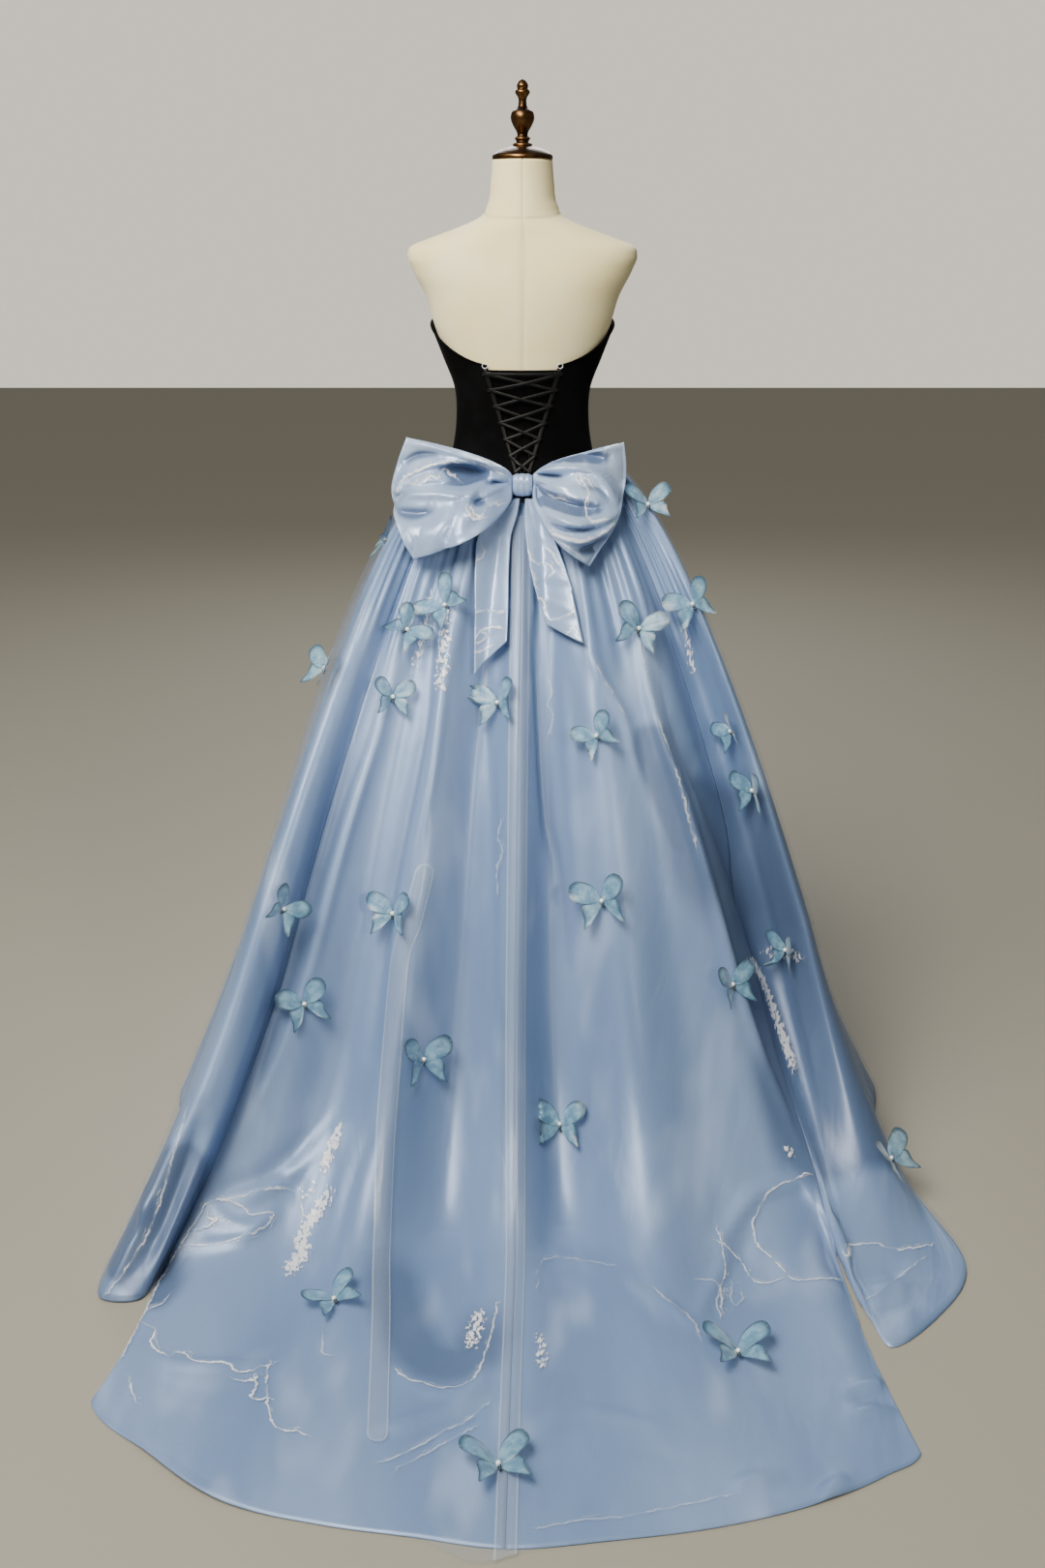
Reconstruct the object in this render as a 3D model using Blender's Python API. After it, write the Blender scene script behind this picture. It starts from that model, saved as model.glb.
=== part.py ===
"""A strapless ball gown with a train, a bow and a sheer overskirt, standing on its limbless dress form.

Metres, +Z up. The origin is on the floor, in the middle of the base's underside. The gown's back and
its train point to -Y, its front to +Y. A turn is an angle round the form, in radians from the centre
back, positive towards +X.
"""

import math

import bpy
import numpy as np

for leftover in list(bpy.data.objects):
    bpy.data.objects.remove(leftover)

# Cloth
SATIN_WALL = 0.002
SHEER_WALL = 0.001
VELVET_WALL = 0.0025
RIBBON_WALL = 0.001
SEAM_GAP = 0.0003
BODY_CLEARANCE = 0.0038
BODICE_SEAM_RISE = 0.0012

# Waist seam: level round the sides and front, dipping to a V at the centre back
SIDE_SEAM_Z = 1.085
BACK_SEAM_Z = 1.015
SEAM_DIP_TURN = math.radians(62)
SIDE_SEAM_TURN = math.radians(95)

# Skirt: it springs out below the seam over its petticoat, then runs down straight
KNEE_Z = 0.38
SPRING_POWER = 0.675
SPRING_SKEW = 0.045
FLOOR_LIFT = 0.002
COLUMN_SPACING = 0.06
MOST_COLUMNS = 4
ROWS_TO_KNEE = (0.0, 0.03, 0.10, 0.22, 0.42, 0.70, 1.0)
ROWS_BELOW_KNEE = (0.40, 0.78, 1.0)
# Folds that reach the floor before their end and lie on it from there: share of the way down from the knee
LANDINGS = {"valley_right_0": 0.84, "lobe_right_inner": 0.78, "lobe_right_foot": 0.78, "lobe_right_outer": 0.82}
LANDING_ROUNDNESS = 0.10
TRAIN_ROWS = (0.14, 0.4, 0.7, 1.0)
TRAIN_WAVE = 0.020
TRAIN_SWEEP = 0.07
TRAIN_SIDE_TUCK = 0.010

# Overskirt: how far it stands off the satin
SHEER_LIFT = 0.0045
SHEER_BILLOW = 0.011
SHEER_BILLOW_Z = 0.80
SHEER_BILLOW_DEPTH = 0.20
SHEER_BILLOW_COLUMNS = 8
SHEER_OVERHANG = 0.024
SHEER_TAIL_SHIFT = -0.06
SHEER_TAIL_WIDTH = 0.07
SHEER_HEM_LIFT = 0.005

# Back opening and its lacing. Each "out" is a distance from the dress form.
BODICE_ROWS = 9
OPENING_TOP_Z = 1.231
OPENING_TOP_HALF = 0.056
OPENING_FOOT_Z = 1.057
OPENING_FOOT_HALF = 0.006
MODESTY_OUT = 0.0009
MODESTY_UNDERLAP = 0.016
MODESTY_TOP_DROP = 0.006
MODESTY_FOOT_DROP = 0.012
TAPE_OUT = BODY_CLEARANCE + VELVET_WALL + 0.0009
TAPE_REACH = np.array([0.0062, 0.0030, -0.0050])
TAPE_OVERRUN = 0.004
TAB_HALF_HEIGHT = 0.003
LACE_OUT = BODY_CLEARANCE + VELVET_WALL + 0.0036
LACE_OVERLAP = 0.0045
LACE_ROWS = 7
LACE_HEIGHTS = np.linspace(OPENING_TOP_Z - 0.012, OPENING_FOOT_Z + 0.004, LACE_ROWS)
RIBBON_WIDTH = 0.005
RIBBON_STEP = 0.028
RIBBON_OVERRUN = 0.45

# Bow: it lies over the back of the skirt
BOW_WALL = 0.0015
BOW_PATCH = 0.012
KNOT_Z = 1.045
KNOT_HALF_WIDTH = 0.016
KNOT_HALF_HEIGHT = 0.018
KNOT_HALF_DEPTH = 0.015
KNOT_GAP = 0.024
KNOT_SIDES = 12
KNOT_BOXINESS = 0.7
LOOP_ROWS = 9
LOOP_STEPS = 7
LOOP_CLEARANCE = 0.016
LOOP_GAP = 0.008
LOOP_ROOT_GAP = 0.0014
LOOP_ROOT_HALF_HEIGHT = 0.0144
LOOP_FLARE = 0.62
LOOP_FULLNESS = 0.030
LOOP_FULLEST = 0.8
LOOP_CLOSED = 0.97
LOOP_LIP = 0.0045
LOOP_LIP_POWER = 12
LOOP_STATION_POWER = 1.15
LOOP_FRONT_SHARE = 1.25
LOOP_BACK_SHARE = 0.35
LOOP_GATHERS = 2.5
LOOP_GATHER_DEPTH = 0.0045
LOOP_GATHER_POWER = 0.6
TAIL_ROWS = 9
TAIL_GAP = 0.004
TAIL_SLANT_LENGTH = 0.07

# Butterflies, sewn on by the body
HEAD_Y = 0.10
TAIL_Y = -0.13
WING_SLOPE = 0.42
WING_CLEAR_SLOPE = 0.10
BUTTERFLY_LIFT = 0.003
LAY_STEP = 0.03
LAY_FOLDS = 0.4
WING_NEAR = 0.15
WING_FAR = 0.55
WING_HALF_HEIGHT = 0.45
WING_SEARCH = np.linspace(-0.8, 0.8, 15)

# Stand
POLE_RADIUS = 0.014
FORM_FOOT_Z = 0.80
FORM_SIDES = 26
NECK_TOP_Z = 1.550

# The stand's round base, from the floor up: z, radius
BASE_PROFILE = (
    (0.000, 0.167),
    (0.003, 0.170),
    (0.011, 0.170),
    (0.014, 0.166),
    (0.016, 0.030),
    (0.044, 0.024),
)

# The dress form's level sections: z, half width, depth in front of and behind the axis, and how
# rounded (1) or boxy (less) the section is.
FORM_SECTIONS = (
    # z     half_width  front   back   corner
    (0.800, 0.1480, 0.094, 0.104, 0.95),
    (0.870, 0.1610, 0.100, 0.116, 0.95),
    (0.950, 0.1600, 0.098, 0.113, 0.95),
    (1.030, 0.1330, 0.089, 0.092, 0.97),
    (1.090, 0.1130, 0.083, 0.079, 1.00),
    (1.140, 0.1062, 0.080, 0.073, 1.00),
    (1.190, 0.1085, 0.084, 0.075, 1.00),
    (1.240, 0.1270, 0.094, 0.082, 0.98),
    (1.290, 0.1460, 0.102, 0.089, 0.95),
    (1.340, 0.1610, 0.097, 0.092, 0.90),
    (1.380, 0.1815, 0.084, 0.087, 0.84),
    (1.403, 0.1890, 0.072, 0.080, 0.80),
    (1.418, 0.1820, 0.064, 0.075, 0.80),
    (1.431, 0.1480, 0.058, 0.071, 0.85),
    (1.446, 0.1060, 0.053, 0.068, 0.92),
    (1.462, 0.0700, 0.050, 0.064, 1.00),
    (1.482, 0.0570, 0.049, 0.060, 1.00),
    (1.515, 0.0515, 0.047, 0.055, 1.00),
    (1.550, 0.0485, 0.046, 0.052, 1.00),
)
BUST_Z, BUST_HEIGHT, BUST_TURN, BUST_SPREAD, BUST_DEPTH = 1.262, 0.052, 0.50, 0.34, 0.028

# Neck cap: height over the neck, growth over the neck's own section
CAP_PROFILE = ((0.0003, 0.0), (0.004, 0.0005), (0.010, -0.004), (0.016, -0.016), (0.0195, -0.030))

# Turned finial, from the neck cap up: z, radius
FINIAL_PROFILE = (
    (1.5700, 0.0150),
    (1.5745, 0.0150),
    (1.5775, 0.0100),
    (1.5820, 0.0128),
    (1.5860, 0.0090),
    (1.5935, 0.0105),
    (1.6040, 0.0165),
    (1.6150, 0.0190),
    (1.6230, 0.0160),
    (1.6290, 0.0080),
    (1.6400, 0.0065),
    (1.6475, 0.0105),
    (1.6520, 0.0118),
    (1.6560, 0.0085),
    (1.6610, 0.0092),
    (1.6670, 0.0060),
    (1.6700, 0.0015),
)

# The bodice's top edge: turn in degrees, z
TOP_EDGE = (
    (0, 1.231),
    (27, 1.233),
    (52, 1.249),
    (68, 1.266),
    (90, 1.291),
    (118, 1.306),
    (142, 1.314),
    (162, 1.304),
    (180, 1.288),
)

# The skirt's folds, from the centre back round by +X, the front and -X. A ridge or a valley leaves
# the waist seam at its turn and passes its plan points at knee height and on the floor. Those of the
# train run on along the floor to the hem.
FOLDS = (
    # name                turn   knee_x  knee_y  floor_x floor_y pleat   hem_x   hem_y
    ("centre_back",          0, -0.010, -0.505, -0.010, -0.720, 0.005, -0.020, -1.330),
    ("valley_back_1",       11,  0.045, -0.445,  0.060, -0.640, -0.005, 0.100, -1.318),
    ("ridge_back_1",        23,  0.150, -0.505,  0.200, -0.745, 0.006,  0.235, -1.296),
    ("valley_back_2",       34,  0.235, -0.480,  0.320, -0.700, -0.004, 0.365, -1.256),
    ("ridge_back_2",        44,  0.320, -0.460,  0.445, -0.665, 0.007,  0.450, -1.212),
    ("train_edge_right",    54,  0.374, -0.350,  0.468, -0.760, -0.008, 0.500, -1.175),
    ("valley_right_0",      61,  0.404, -0.335,  0.492, -0.930, -0.005, None, None),
    ("lobe_right_inner",    68,  0.426, -0.370,  0.505, -0.972, 0.003, None, None),
    ("lobe_right_foot",     75,  0.456, -0.430,  0.585, -0.908, 0.006, None, None),
    ("lobe_right_outer",    82,  0.468, -0.410,  0.655, -0.790, 0.003, None, None),
    ("valley_right_1",      92,  0.440, -0.220,  0.590, -0.470, -0.007, None, None),
    ("ridge_right_1",      102,  0.460, -0.110,  0.625, -0.240, 0.006, None, None),
    ("valley_right_2",     112,  0.415, -0.010,  0.550, -0.050, -0.006, None, None),
    ("ridge_right_2",      122,  0.435,  0.100,  0.590,  0.110, 0.006, None, None),
    ("valley_right_3",     131,  0.365,  0.165,  0.490,  0.200, -0.006, None, None),
    ("ridge_right_3",      140,  0.345,  0.265,  0.470,  0.345, 0.006, None, None),
    ("valley_right_4",     149,  0.265,  0.275,  0.355,  0.355, -0.006, None, None),
    ("ridge_right_4",      159,  0.200,  0.355,  0.270,  0.470, 0.006, None, None),
    ("valley_right_5",     170,  0.105,  0.320,  0.140,  0.420, -0.005, None, None),
    ("centre_front",       180,  0.000,  0.365,  0.000,  0.485, 0.005, None, None),
    ("valley_left_5",      190, -0.110,  0.322, -0.150,  0.425, -0.005, None, None),
    ("ridge_left_4",       200, -0.205,  0.350, -0.280,  0.465, 0.006, None, None),
    ("valley_left_4",      210, -0.262,  0.270, -0.345,  0.350, -0.006, None, None),
    ("ridge_left_3",       219, -0.350,  0.258, -0.475,  0.335, 0.006, None, None),
    ("valley_left_3",      229, -0.368,  0.150, -0.490,  0.180, -0.006, None, None),
    ("ridge_left_2",       239, -0.437,  0.085, -0.588,  0.090, 0.006, None, None),
    ("valley_left_2",      249, -0.418, -0.020, -0.548, -0.070, -0.006, None, None),
    ("ridge_left_1",       259, -0.452, -0.125, -0.604, -0.260, 0.006, None, None),
    ("valley_left_1",      269, -0.435, -0.230, -0.570, -0.480, -0.007, None, None),
    ("lobe_left_outer",    279, -0.442, -0.540, -0.614, -0.790, 0.003, None, None),
    ("lobe_left_foot",     287, -0.425, -0.590, -0.604, -0.866, 0.006, None, None),
    ("lobe_left_inner",    295, -0.388, -0.565, -0.547, -0.868, 0.003, None, None),
    ("train_edge_left",    305, -0.360, -0.490, -0.532, -0.800, -0.008, -0.565, -1.080),
    ("ridge_back_4",       315, -0.322, -0.500, -0.420, -0.700, 0.006, -0.475, -1.172),
    ("valley_back_4",      326, -0.250, -0.472, -0.335, -0.670, -0.004, -0.370, -1.254),
    ("ridge_back_3",       337, -0.175, -0.515, -0.245, -0.725, 0.007, -0.240, -1.293),
    ("valley_back_3",      349, -0.090, -0.455, -0.120, -0.655, -0.005, -0.130, -1.312),
)
FOLD_NAMES = [fold[0] for fold in FOLDS]

# Outer edge of each bow loop, top to bottom: share of the way down, x and z
LOOP_EDGES = {
    "left": (
        (0.00, -0.190, 1.120),
        (0.25, -0.206, 1.078),
        (0.50, -0.215, 1.034),
        (0.75, -0.200, 0.990),
        (1.00, -0.1745, 0.944),
    ),
    "right": (
        (0.00, 0.166, 1.112),
        (0.25, 0.170, 1.074),
        (0.50, 0.166, 1.036),
        (0.75, 0.146, 0.988),
        (1.00, 0.106, 0.937),
    ),
}

# The knot from its left end to its right: share of its half width, growth of its section there
KNOT_RINGS = ((-1, 0.86), (-0.45, 1.02), (0.45, 1.02), (1, 0.86))

# Centre line of each tail from the knot down: z, x, half width. The slant is how much higher the
# end is at its +X corner than at its middle.
TAILS = {
    "left": (
        (1.024, -0.014, 0.010),
        (0.985, -0.034, 0.024),
        (0.940, -0.048, 0.0265),
        (0.800, -0.050, 0.0240),
    ),
    "right": (
        (1.024, 0.012, 0.008),
        (0.985, 0.024, 0.020),
        (0.940, 0.038, 0.0270),
        (0.835, 0.067, 0.0295),
    ),
}
TAIL_SLANTS = {"left": 0.026, "right": -0.010}

# Right half of a butterfly's outline, from its head round to its tail, as shares of its width
WING_OUTLINE = ((0.08, 0.26), (0.36, 0.42), (0.50, 0.20), (0.27, 0.00), (0.34, -0.42), (0.07, -0.16))

# Where each butterfly sits: how many folds round from the centre back, how far down the cloth from
# the seam, how far it is turned anticlockwise, and how wide it is
BUTTERFLIES = (
    # fold   drop  degrees width
    (8.0, 0.16, -20, 0.078),
    (7.85, 0.345, 5, 0.082),
    (7.6, 0.66, -15, 0.082),
    (8.7, 1.29, 20, 0.085),
    (-7.4, 0.475, -10, 0.080),
    (-8.6, 0.205, 35, 0.070),
    (-3.7, 0.33, -35, 0.074),
    (-2.3, 0.26, 50, 0.085),
    (-3.6, 0.44, 10, 0.070),
    (-0.5, 0.375, 8, 0.082),
    (2.0, 0.47, 25, 0.072),
    (7.45, 0.555, 10, 0.066),
    (3.6, 0.33, -30, 0.085),
    (-6.25, 0.85, -20, 0.074),
    (-4.0, 0.95, 35, 0.082),
    (-2.4, 0.76, 5, 0.080),
    (1.85, 0.725, 8, 0.090),
    (-1.6, 0.965, 12, 0.088),
    (1.05, 1.05, -5, 0.084),
    (3.9, 0.92, 0, 0.080),
    (7.1, 0.92, -20, 0.074),
    (-2.2, 1.39, 30, 0.080),
    (2.6, 1.51, 0, 0.095),
    (-0.1, 1.65, 15, 0.090),
    (12.3, 0.38, 15, 0.085),
    (15.0, 0.72, -20, 0.088),
    (17.3, 0.30, 10, 0.080),
    (19.1, 0.60, -10, 0.086),
    (21.2, 0.40, 30, 0.082),
    (23.6, 0.70, 5, 0.086),
)


# ---- Materials


def linear(value):
    """One sRGB channel, 0 to 255, as linear light."""
    value = value / 255
    return value / 12.92 if value <= 0.04045 else ((value + 0.055) / 1.055) ** 2.4


def material(name, hex_colour, roughness, metallic=0.0):
    made = bpy.data.materials.new(name)
    made.use_nodes = True
    shader = made.node_tree.nodes["Principled BSDF"]
    channels = [linear(int(hex_colour[i : i + 2], 16)) for i in (0, 2, 4)]
    shader.inputs["Base Color"].default_value = (*channels, 1.0)
    shader.inputs["Roughness"].default_value = roughness
    shader.inputs["Metallic"].default_value = metallic
    return made


SATIN = material("blue_satin", "8FA6C6", 0.32)
SHEER = material("sheer_blue_organza", "A9BCD6", 0.45)
VELVET = material("black_velvet", "0B0B0D", 0.9)
RIBBON = material("black_satin_ribbon", "1C1C1F", 0.4)
WING = material("teal_organza", "7FA6BC", 0.5)
JERSEY = material("cream_jersey", "EAE4C4", 0.85)
BRONZE = material("antique_bronze", "5A4630", 0.4, 0.9)
STEEL = material("painted_steel", "2B2A29", 0.45, 0.4)


# ---- Helpers


def add_object(name, points, faces, finish, smooth_degrees=40):
    mesh = bpy.data.meshes.new(name)
    mesh.from_pydata([tuple(map(float, point)) for point in points], [], faces)
    mesh.materials.append(finish)
    mesh.shade_smooth()
    mesh.set_sharp_from_angle(angle=math.radians(smooth_degrees))
    made = bpy.data.objects.new(name, mesh)
    bpy.context.scene.collection.objects.link(made)
    return made


def smooth_table(rows, at):
    """The columns of a table after its first, read at any value of its first, on a smooth curve."""
    table = np.array(rows, float)
    keys, values = table[:, 0], table[:, 1:]
    slopes = np.gradient(values, keys, axis=0)
    at = np.clip(np.atleast_1d(at), keys[0], keys[-1])
    low = np.clip(np.searchsorted(keys, at) - 1, 0, len(keys) - 2)
    span = (keys[low + 1] - keys[low])[:, None]
    t = (at - keys[low])[:, None] / span
    return (
        (2 * t**3 - 3 * t**2 + 1) * values[low]
        + (t**3 - 2 * t**2 + t) * span * slopes[low]
        + (3 * t**2 - 2 * t**3) * values[low + 1]
        + (t**3 - t**2) * span * slopes[low + 1]
    )


def sheet_faces(rows, columns, filled=None):
    """Triangles of a two-sided sheet on a grid: outer skin, inner skin and the rims between them.

    Every rim is split from its lower outer corner to its upper inner one, so that the two rims of a
    twisted seam stay parallel.
    """
    count = rows * columns
    cells = [
        (r, c)
        for r in range(rows - 1)
        for c in range(columns - 1)
        if filled is None or filled(r, c)
    ]
    outer = []
    for r, c in cells:
        a, b = r * columns + c, (r + 1) * columns + c
        outer += [(a, b, b + 1), (a, b + 1, a + 1)]
    edges = {(face[i], face[(i + 1) % 3]) for face in outer for i in range(3)}
    faces = outer + [(c + count, b + count, a + count) for a, b, c in outer]
    for a, b in sorted(edges):
        if (b, a) in edges:
            continue
        if a < b:
            faces += [(b, a, a + count), (b, a + count, b + count)]
        else:
            faces += [(b, a, b + count), (a, a + count, b + count)]
    return faces


def add_sheet(name, outer, inner, finish, filled=None):
    """A wall between two grids of points, both indexed by row and column."""
    rows, columns = outer.shape[:2]
    points = np.concatenate([outer.reshape(-1, 3), inner.reshape(-1, 3)])
    faces = sheet_faces(rows, columns, filled)
    used = sorted({corner for face in faces for corner in face})
    renumbered = {old: new for new, old in enumerate(used)}
    faces = [tuple(renumbered[corner] for corner in face) for face in faces]
    return add_object(name, points[used], faces, finish)


def normals_of(grid, closed=False):
    """Unit normals of a grid whose rows run down and whose columns run to +X as seen from behind."""
    ahead = np.roll(grid, -1, axis=1) - grid
    if not closed:
        ahead[:, -1] = ahead[:, -2]
    ahead /= np.maximum(np.linalg.norm(ahead, axis=2, keepdims=True), 1e-9)
    behind = np.roll(ahead, 1, axis=1)
    if not closed:
        behind[:, 0] = ahead[:, 0]
    normal = np.cross(np.gradient(grid, axis=0), ahead + behind)
    return normal / np.linalg.norm(normal, axis=2, keepdims=True)


def part_seams(grid, gap=SEAM_GAP):
    """The first and last columns drawn in by half a seam gap."""
    grid = grid.copy()
    for edge, inside in ((0, 1), (-1, -2)):
        step = grid[:, inside] - grid[:, edge]
        length = np.linalg.norm(step, axis=1, keepdims=True)
        grid[:, edge] += step / length * np.minimum(gap / 2, length / 3)
    return grid


def add_turned(name, profile, finish, sides=20):
    """A solid turned round the Z axis, from (z, radius) rows, with flat ends."""
    turns = np.linspace(0, 2 * math.pi, sides, endpoint=False)
    points = [(r * math.sin(t), -r * math.cos(t), z) for z, r in profile for t in turns]
    return add_object(name, points, ring_faces(len(profile), sides), finish, 30)


def ring_faces(rings, sides):
    """Faces of closed rings stacked upwards, with a flat cap at each end."""
    faces = [tuple(reversed(range(sides))), tuple((rings - 1) * sides + i for i in range(sides))]
    for ring in range(rings - 1):
        for i in range(sides):
            a, b = ring * sides + i, ring * sides + (i + 1) % sides
            faces.append((a, b, b + sides, a + sides))
    return faces


# ---- Dress form


def form_points(turn, z, out=0.0):
    """Points on the dress form, or that far outside it."""
    turn, z = np.broadcast_arrays(np.asarray(turn, float), np.asarray(z, float))
    half_width, front, back, corner = smooth_table(FORM_SECTIONS, z.ravel()).T.reshape(4, *z.shape)
    sine, cosine = np.sin(turn), np.cos(turn)
    x = (half_width + out) * np.sign(sine) * np.abs(sine) ** corner
    depth = np.where(cosine > 0, back, front) + out
    y = -depth * np.sign(cosine) * np.abs(cosine) ** corner
    from_front = math.pi - np.arccos(np.clip(cosine, -1, 1))
    rise = np.exp(-(((z - BUST_Z) / BUST_HEIGHT) ** 2))
    y = y + BUST_DEPTH * rise * np.exp(-(((from_front - BUST_TURN) / BUST_SPREAD) ** 2))
    return np.stack([x, y, z], axis=-1)


def add_form():
    heights = [row[0] for row in FORM_SECTIONS]
    above_waist = [z for z in heights if 1.09 <= z <= 1.34]
    heights = sorted(heights + [(low + high) / 2 for low, high in zip(above_waist, above_waist[1:])])
    turns = np.linspace(0, 2 * math.pi, FORM_SIDES, endpoint=False)
    rings = form_points(turns, np.array(heights)[:, None])
    add_object("form_torso", rings.reshape(-1, 3), ring_faces(len(heights), FORM_SIDES), JERSEY)
    half_width, front, back, _ = smooth_table(FORM_SECTIONS, NECK_TOP_Z)[0]
    cap = []
    for z, grow in CAP_PROFILE:
        wide, deep = half_width + grow, (front + back) / 2 + grow
        for turn in turns:
            y = (front - back) / 2 - deep * math.cos(turn)
            cap.append((wide * math.sin(turn), y, NECK_TOP_Z + z))
    add_object("neck_cap", cap, ring_faces(len(CAP_PROFILE), FORM_SIDES), BRONZE)
    add_turned("finial", FINIAL_PROFILE, BRONZE, 14)


def add_stand():
    add_turned("stand_base", BASE_PROFILE, STEEL, 26)
    foot = BASE_PROFILE[-1][0] + SEAM_GAP
    pole = ((foot, POLE_RADIUS), (FORM_FOOT_Z - SEAM_GAP, POLE_RADIUS))
    add_turned("stand_pole", pole, STEEL, 12)


# ---- Skirt


def seam_z(turn):
    """Height of the waist seam at a turn."""
    from_back = np.arccos(np.cos(turn))
    dip = np.clip(1 - from_back / SEAM_DIP_TURN, 0, 1) ** 1.2
    return SIDE_SEAM_Z - (SIDE_SEAM_Z - BACK_SEAM_Z) * dip


def fold_points(fold):
    """Points down one fold, from the seam to the floor."""
    degrees, knee_x, knee_y, floor_x, floor_y, pleat = fold[1:7]
    turn = math.radians(degrees)
    top = float(seam_z(turn))
    waist = form_points(turn, top, BODY_CLEARANCE + VELVET_WALL)[:2]
    knee, floor = np.array([knee_x, knee_y]), np.array([floor_x, floor_y])
    outward = np.array([math.sin(turn), -math.cos(turn)])
    spring = SPRING_POWER - SPRING_SKEW * math.sin(turn)
    points = []
    for down in ROWS_TO_KNEE:
        crest = pleat * math.sin(math.pi * down**0.45) ** 2
        plan = waist + (knee - waist) * down**spring + outward * crest
        points.append((*plan, top + (KNEE_Z - top) * down))
    slope = (knee - waist) * spring * KNEE_Z / (top - KNEE_Z)
    for down in ROWS_BELOW_KNEE:
        plan = knee + slope * down + (floor - knee - slope) * down**2
        points.append((*plan, FLOOR_LIFT + (KNEE_Z - FLOOR_LIFT) * height_left(fold[0], down)))
    return np.array(points)


def height_left(name, down):
    """Share of the knee's height that a fold still has, so far down from the knee."""
    if name not in LANDINGS:
        return 1 - down
    top, here, end = (1 - share / LANDINGS[name] for share in (0.0, down, 1.0))
    top, here, end = (share + math.hypot(share, LANDING_ROUNDNESS) for share in (top, here, end))
    return (here - end) / (top - end)


def curve_through(points, counts):
    """Points on a closed centripetal curve through the given ones, counts[i] of them from each."""
    made = []
    for i, count in enumerate(counts):
        p0, p1, p2, p3 = (points[(i + k) % len(points)] for k in (-1, 0, 1, 2))
        t1 = max(np.linalg.norm(p1[:2] - p0[:2]), 1e-6) ** 0.5
        t2 = t1 + max(np.linalg.norm(p2[:2] - p1[:2]), 1e-6) ** 0.5
        t3 = t2 + max(np.linalg.norm(p3[:2] - p2[:2]), 1e-6) ** 0.5
        for step in range(count):
            t = t1 + (t2 - t1) * step / count
            a1 = p0 + (p1 - p0) * t / t1
            a2 = p1 + (p2 - p1) * (t - t1) / (t2 - t1)
            a3 = p2 + (p3 - p2) * (t - t2) / (t3 - t2)
            b1 = a1 + (a2 - a1) * t / t2
            b2 = a2 + (a3 - a2) * (t - t1) / (t3 - t1)
            made.append(b1 + (b2 - b1) * (t - t1) / (t2 - t1))
    return np.array(made)


FOLD_LINES = np.array([fold_points(fold) for fold in FOLDS])
FLOOR_STEPS = np.linalg.norm(np.roll(FOLD_LINES[:, -1], -1, axis=0) - FOLD_LINES[:, -1], axis=1)
COLUMN_COUNTS = [min(MOST_COLUMNS, max(2, round(step / COLUMN_SPACING))) for step in FLOOR_STEPS]
FIRST_COLUMNS = dict(zip(FOLD_NAMES, np.concatenate([[0], np.cumsum(COLUMN_COUNTS)[:-1]])))
SLOPE = np.array([curve_through(FOLD_LINES[:, row], COLUMN_COUNTS) for row in range(FOLD_LINES.shape[1])])
COLUMNS = SLOPE.shape[1]


def columns_between(first, last):
    """Column numbers from one fold to another, going by +X, wrapping past the centre back."""
    start, end = FIRST_COLUMNS[first], FIRST_COLUMNS[last]
    if end <= start:
        end += COLUMNS
    return np.arange(start, end + 1) % COLUMNS


TRAIN_COLUMNS = columns_between("train_edge_left", "train_edge_right")


def train_grid():
    """The train's rows on the floor, one after the other, for the train's columns."""
    hems, ridges = [], []
    for fold in FOLDS:
        on_train = fold[7] is not None
        hems.append(fold[7:9] if on_train else fold[4:6])
        ridges.append(1.0 if fold[6] > 0 else 0.0)
    hem = curve_through(np.array(hems, float), COLUMN_COUNTS)[TRAIN_COLUMNS]
    ridge = curve_through(np.array([[r, 0.0] for r in ridges]), COLUMN_COUNTS)[TRAIN_COLUMNS, 0]
    floor = SLOPE[-1, TRAIN_COLUMNS, :2]
    across = np.linspace(-1, 1, len(TRAIN_COLUMNS))
    inside = 1 - np.abs(across) ** 6
    rows = []
    for along in (0.0, *TRAIN_ROWS):
        plan = floor + (hem - floor) * along
        sweep = TRAIN_SWEEP * (1 - along) ** 2 * inside
        plan[:, 1] -= sweep
        plan[:, 0] -= np.sign(across) * TRAIN_SIDE_TUCK * math.sin(math.pi * along) * np.abs(across) ** 8
        height = FLOOR_LIFT + TRAIN_WAVE * ridge * inside * (1 - along) ** 1.2
        rows.append(np.column_stack([plan, height]))
    return np.array(rows)


def skirt_grids():
    """Outer points and normals of the slope, and of the slope and train together."""
    slope = SLOPE.copy()
    train = train_grid()
    low = slope[-3:, TRAIN_COLUMNS]
    shift = train[0] - low[-1]
    for row, share in zip(range(-2, 0), (0.3, 1.0)):
        slope[row, TRAIN_COLUMNS] += shift * share
    whole = np.concatenate([slope[:, TRAIN_COLUMNS], train[1:]])
    slope_normals = normals_of(slope, closed=True)
    whole_normals = normals_of(whole)
    whole_normals[: len(slope), [0, -1]] = slope_normals[:, TRAIN_COLUMNS[[0, -1]]]
    return slope, slope_normals, whole, whole_normals


SLOPE_GRID, SLOPE_NORMALS, TRAIN_GRID, TRAIN_NORMALS = skirt_grids()


def inner_skin(outer, normals, thickness):
    inner = outer - normals * thickness
    inner[..., 2] = np.maximum(inner[..., 2], 0.0)
    return inner


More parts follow.
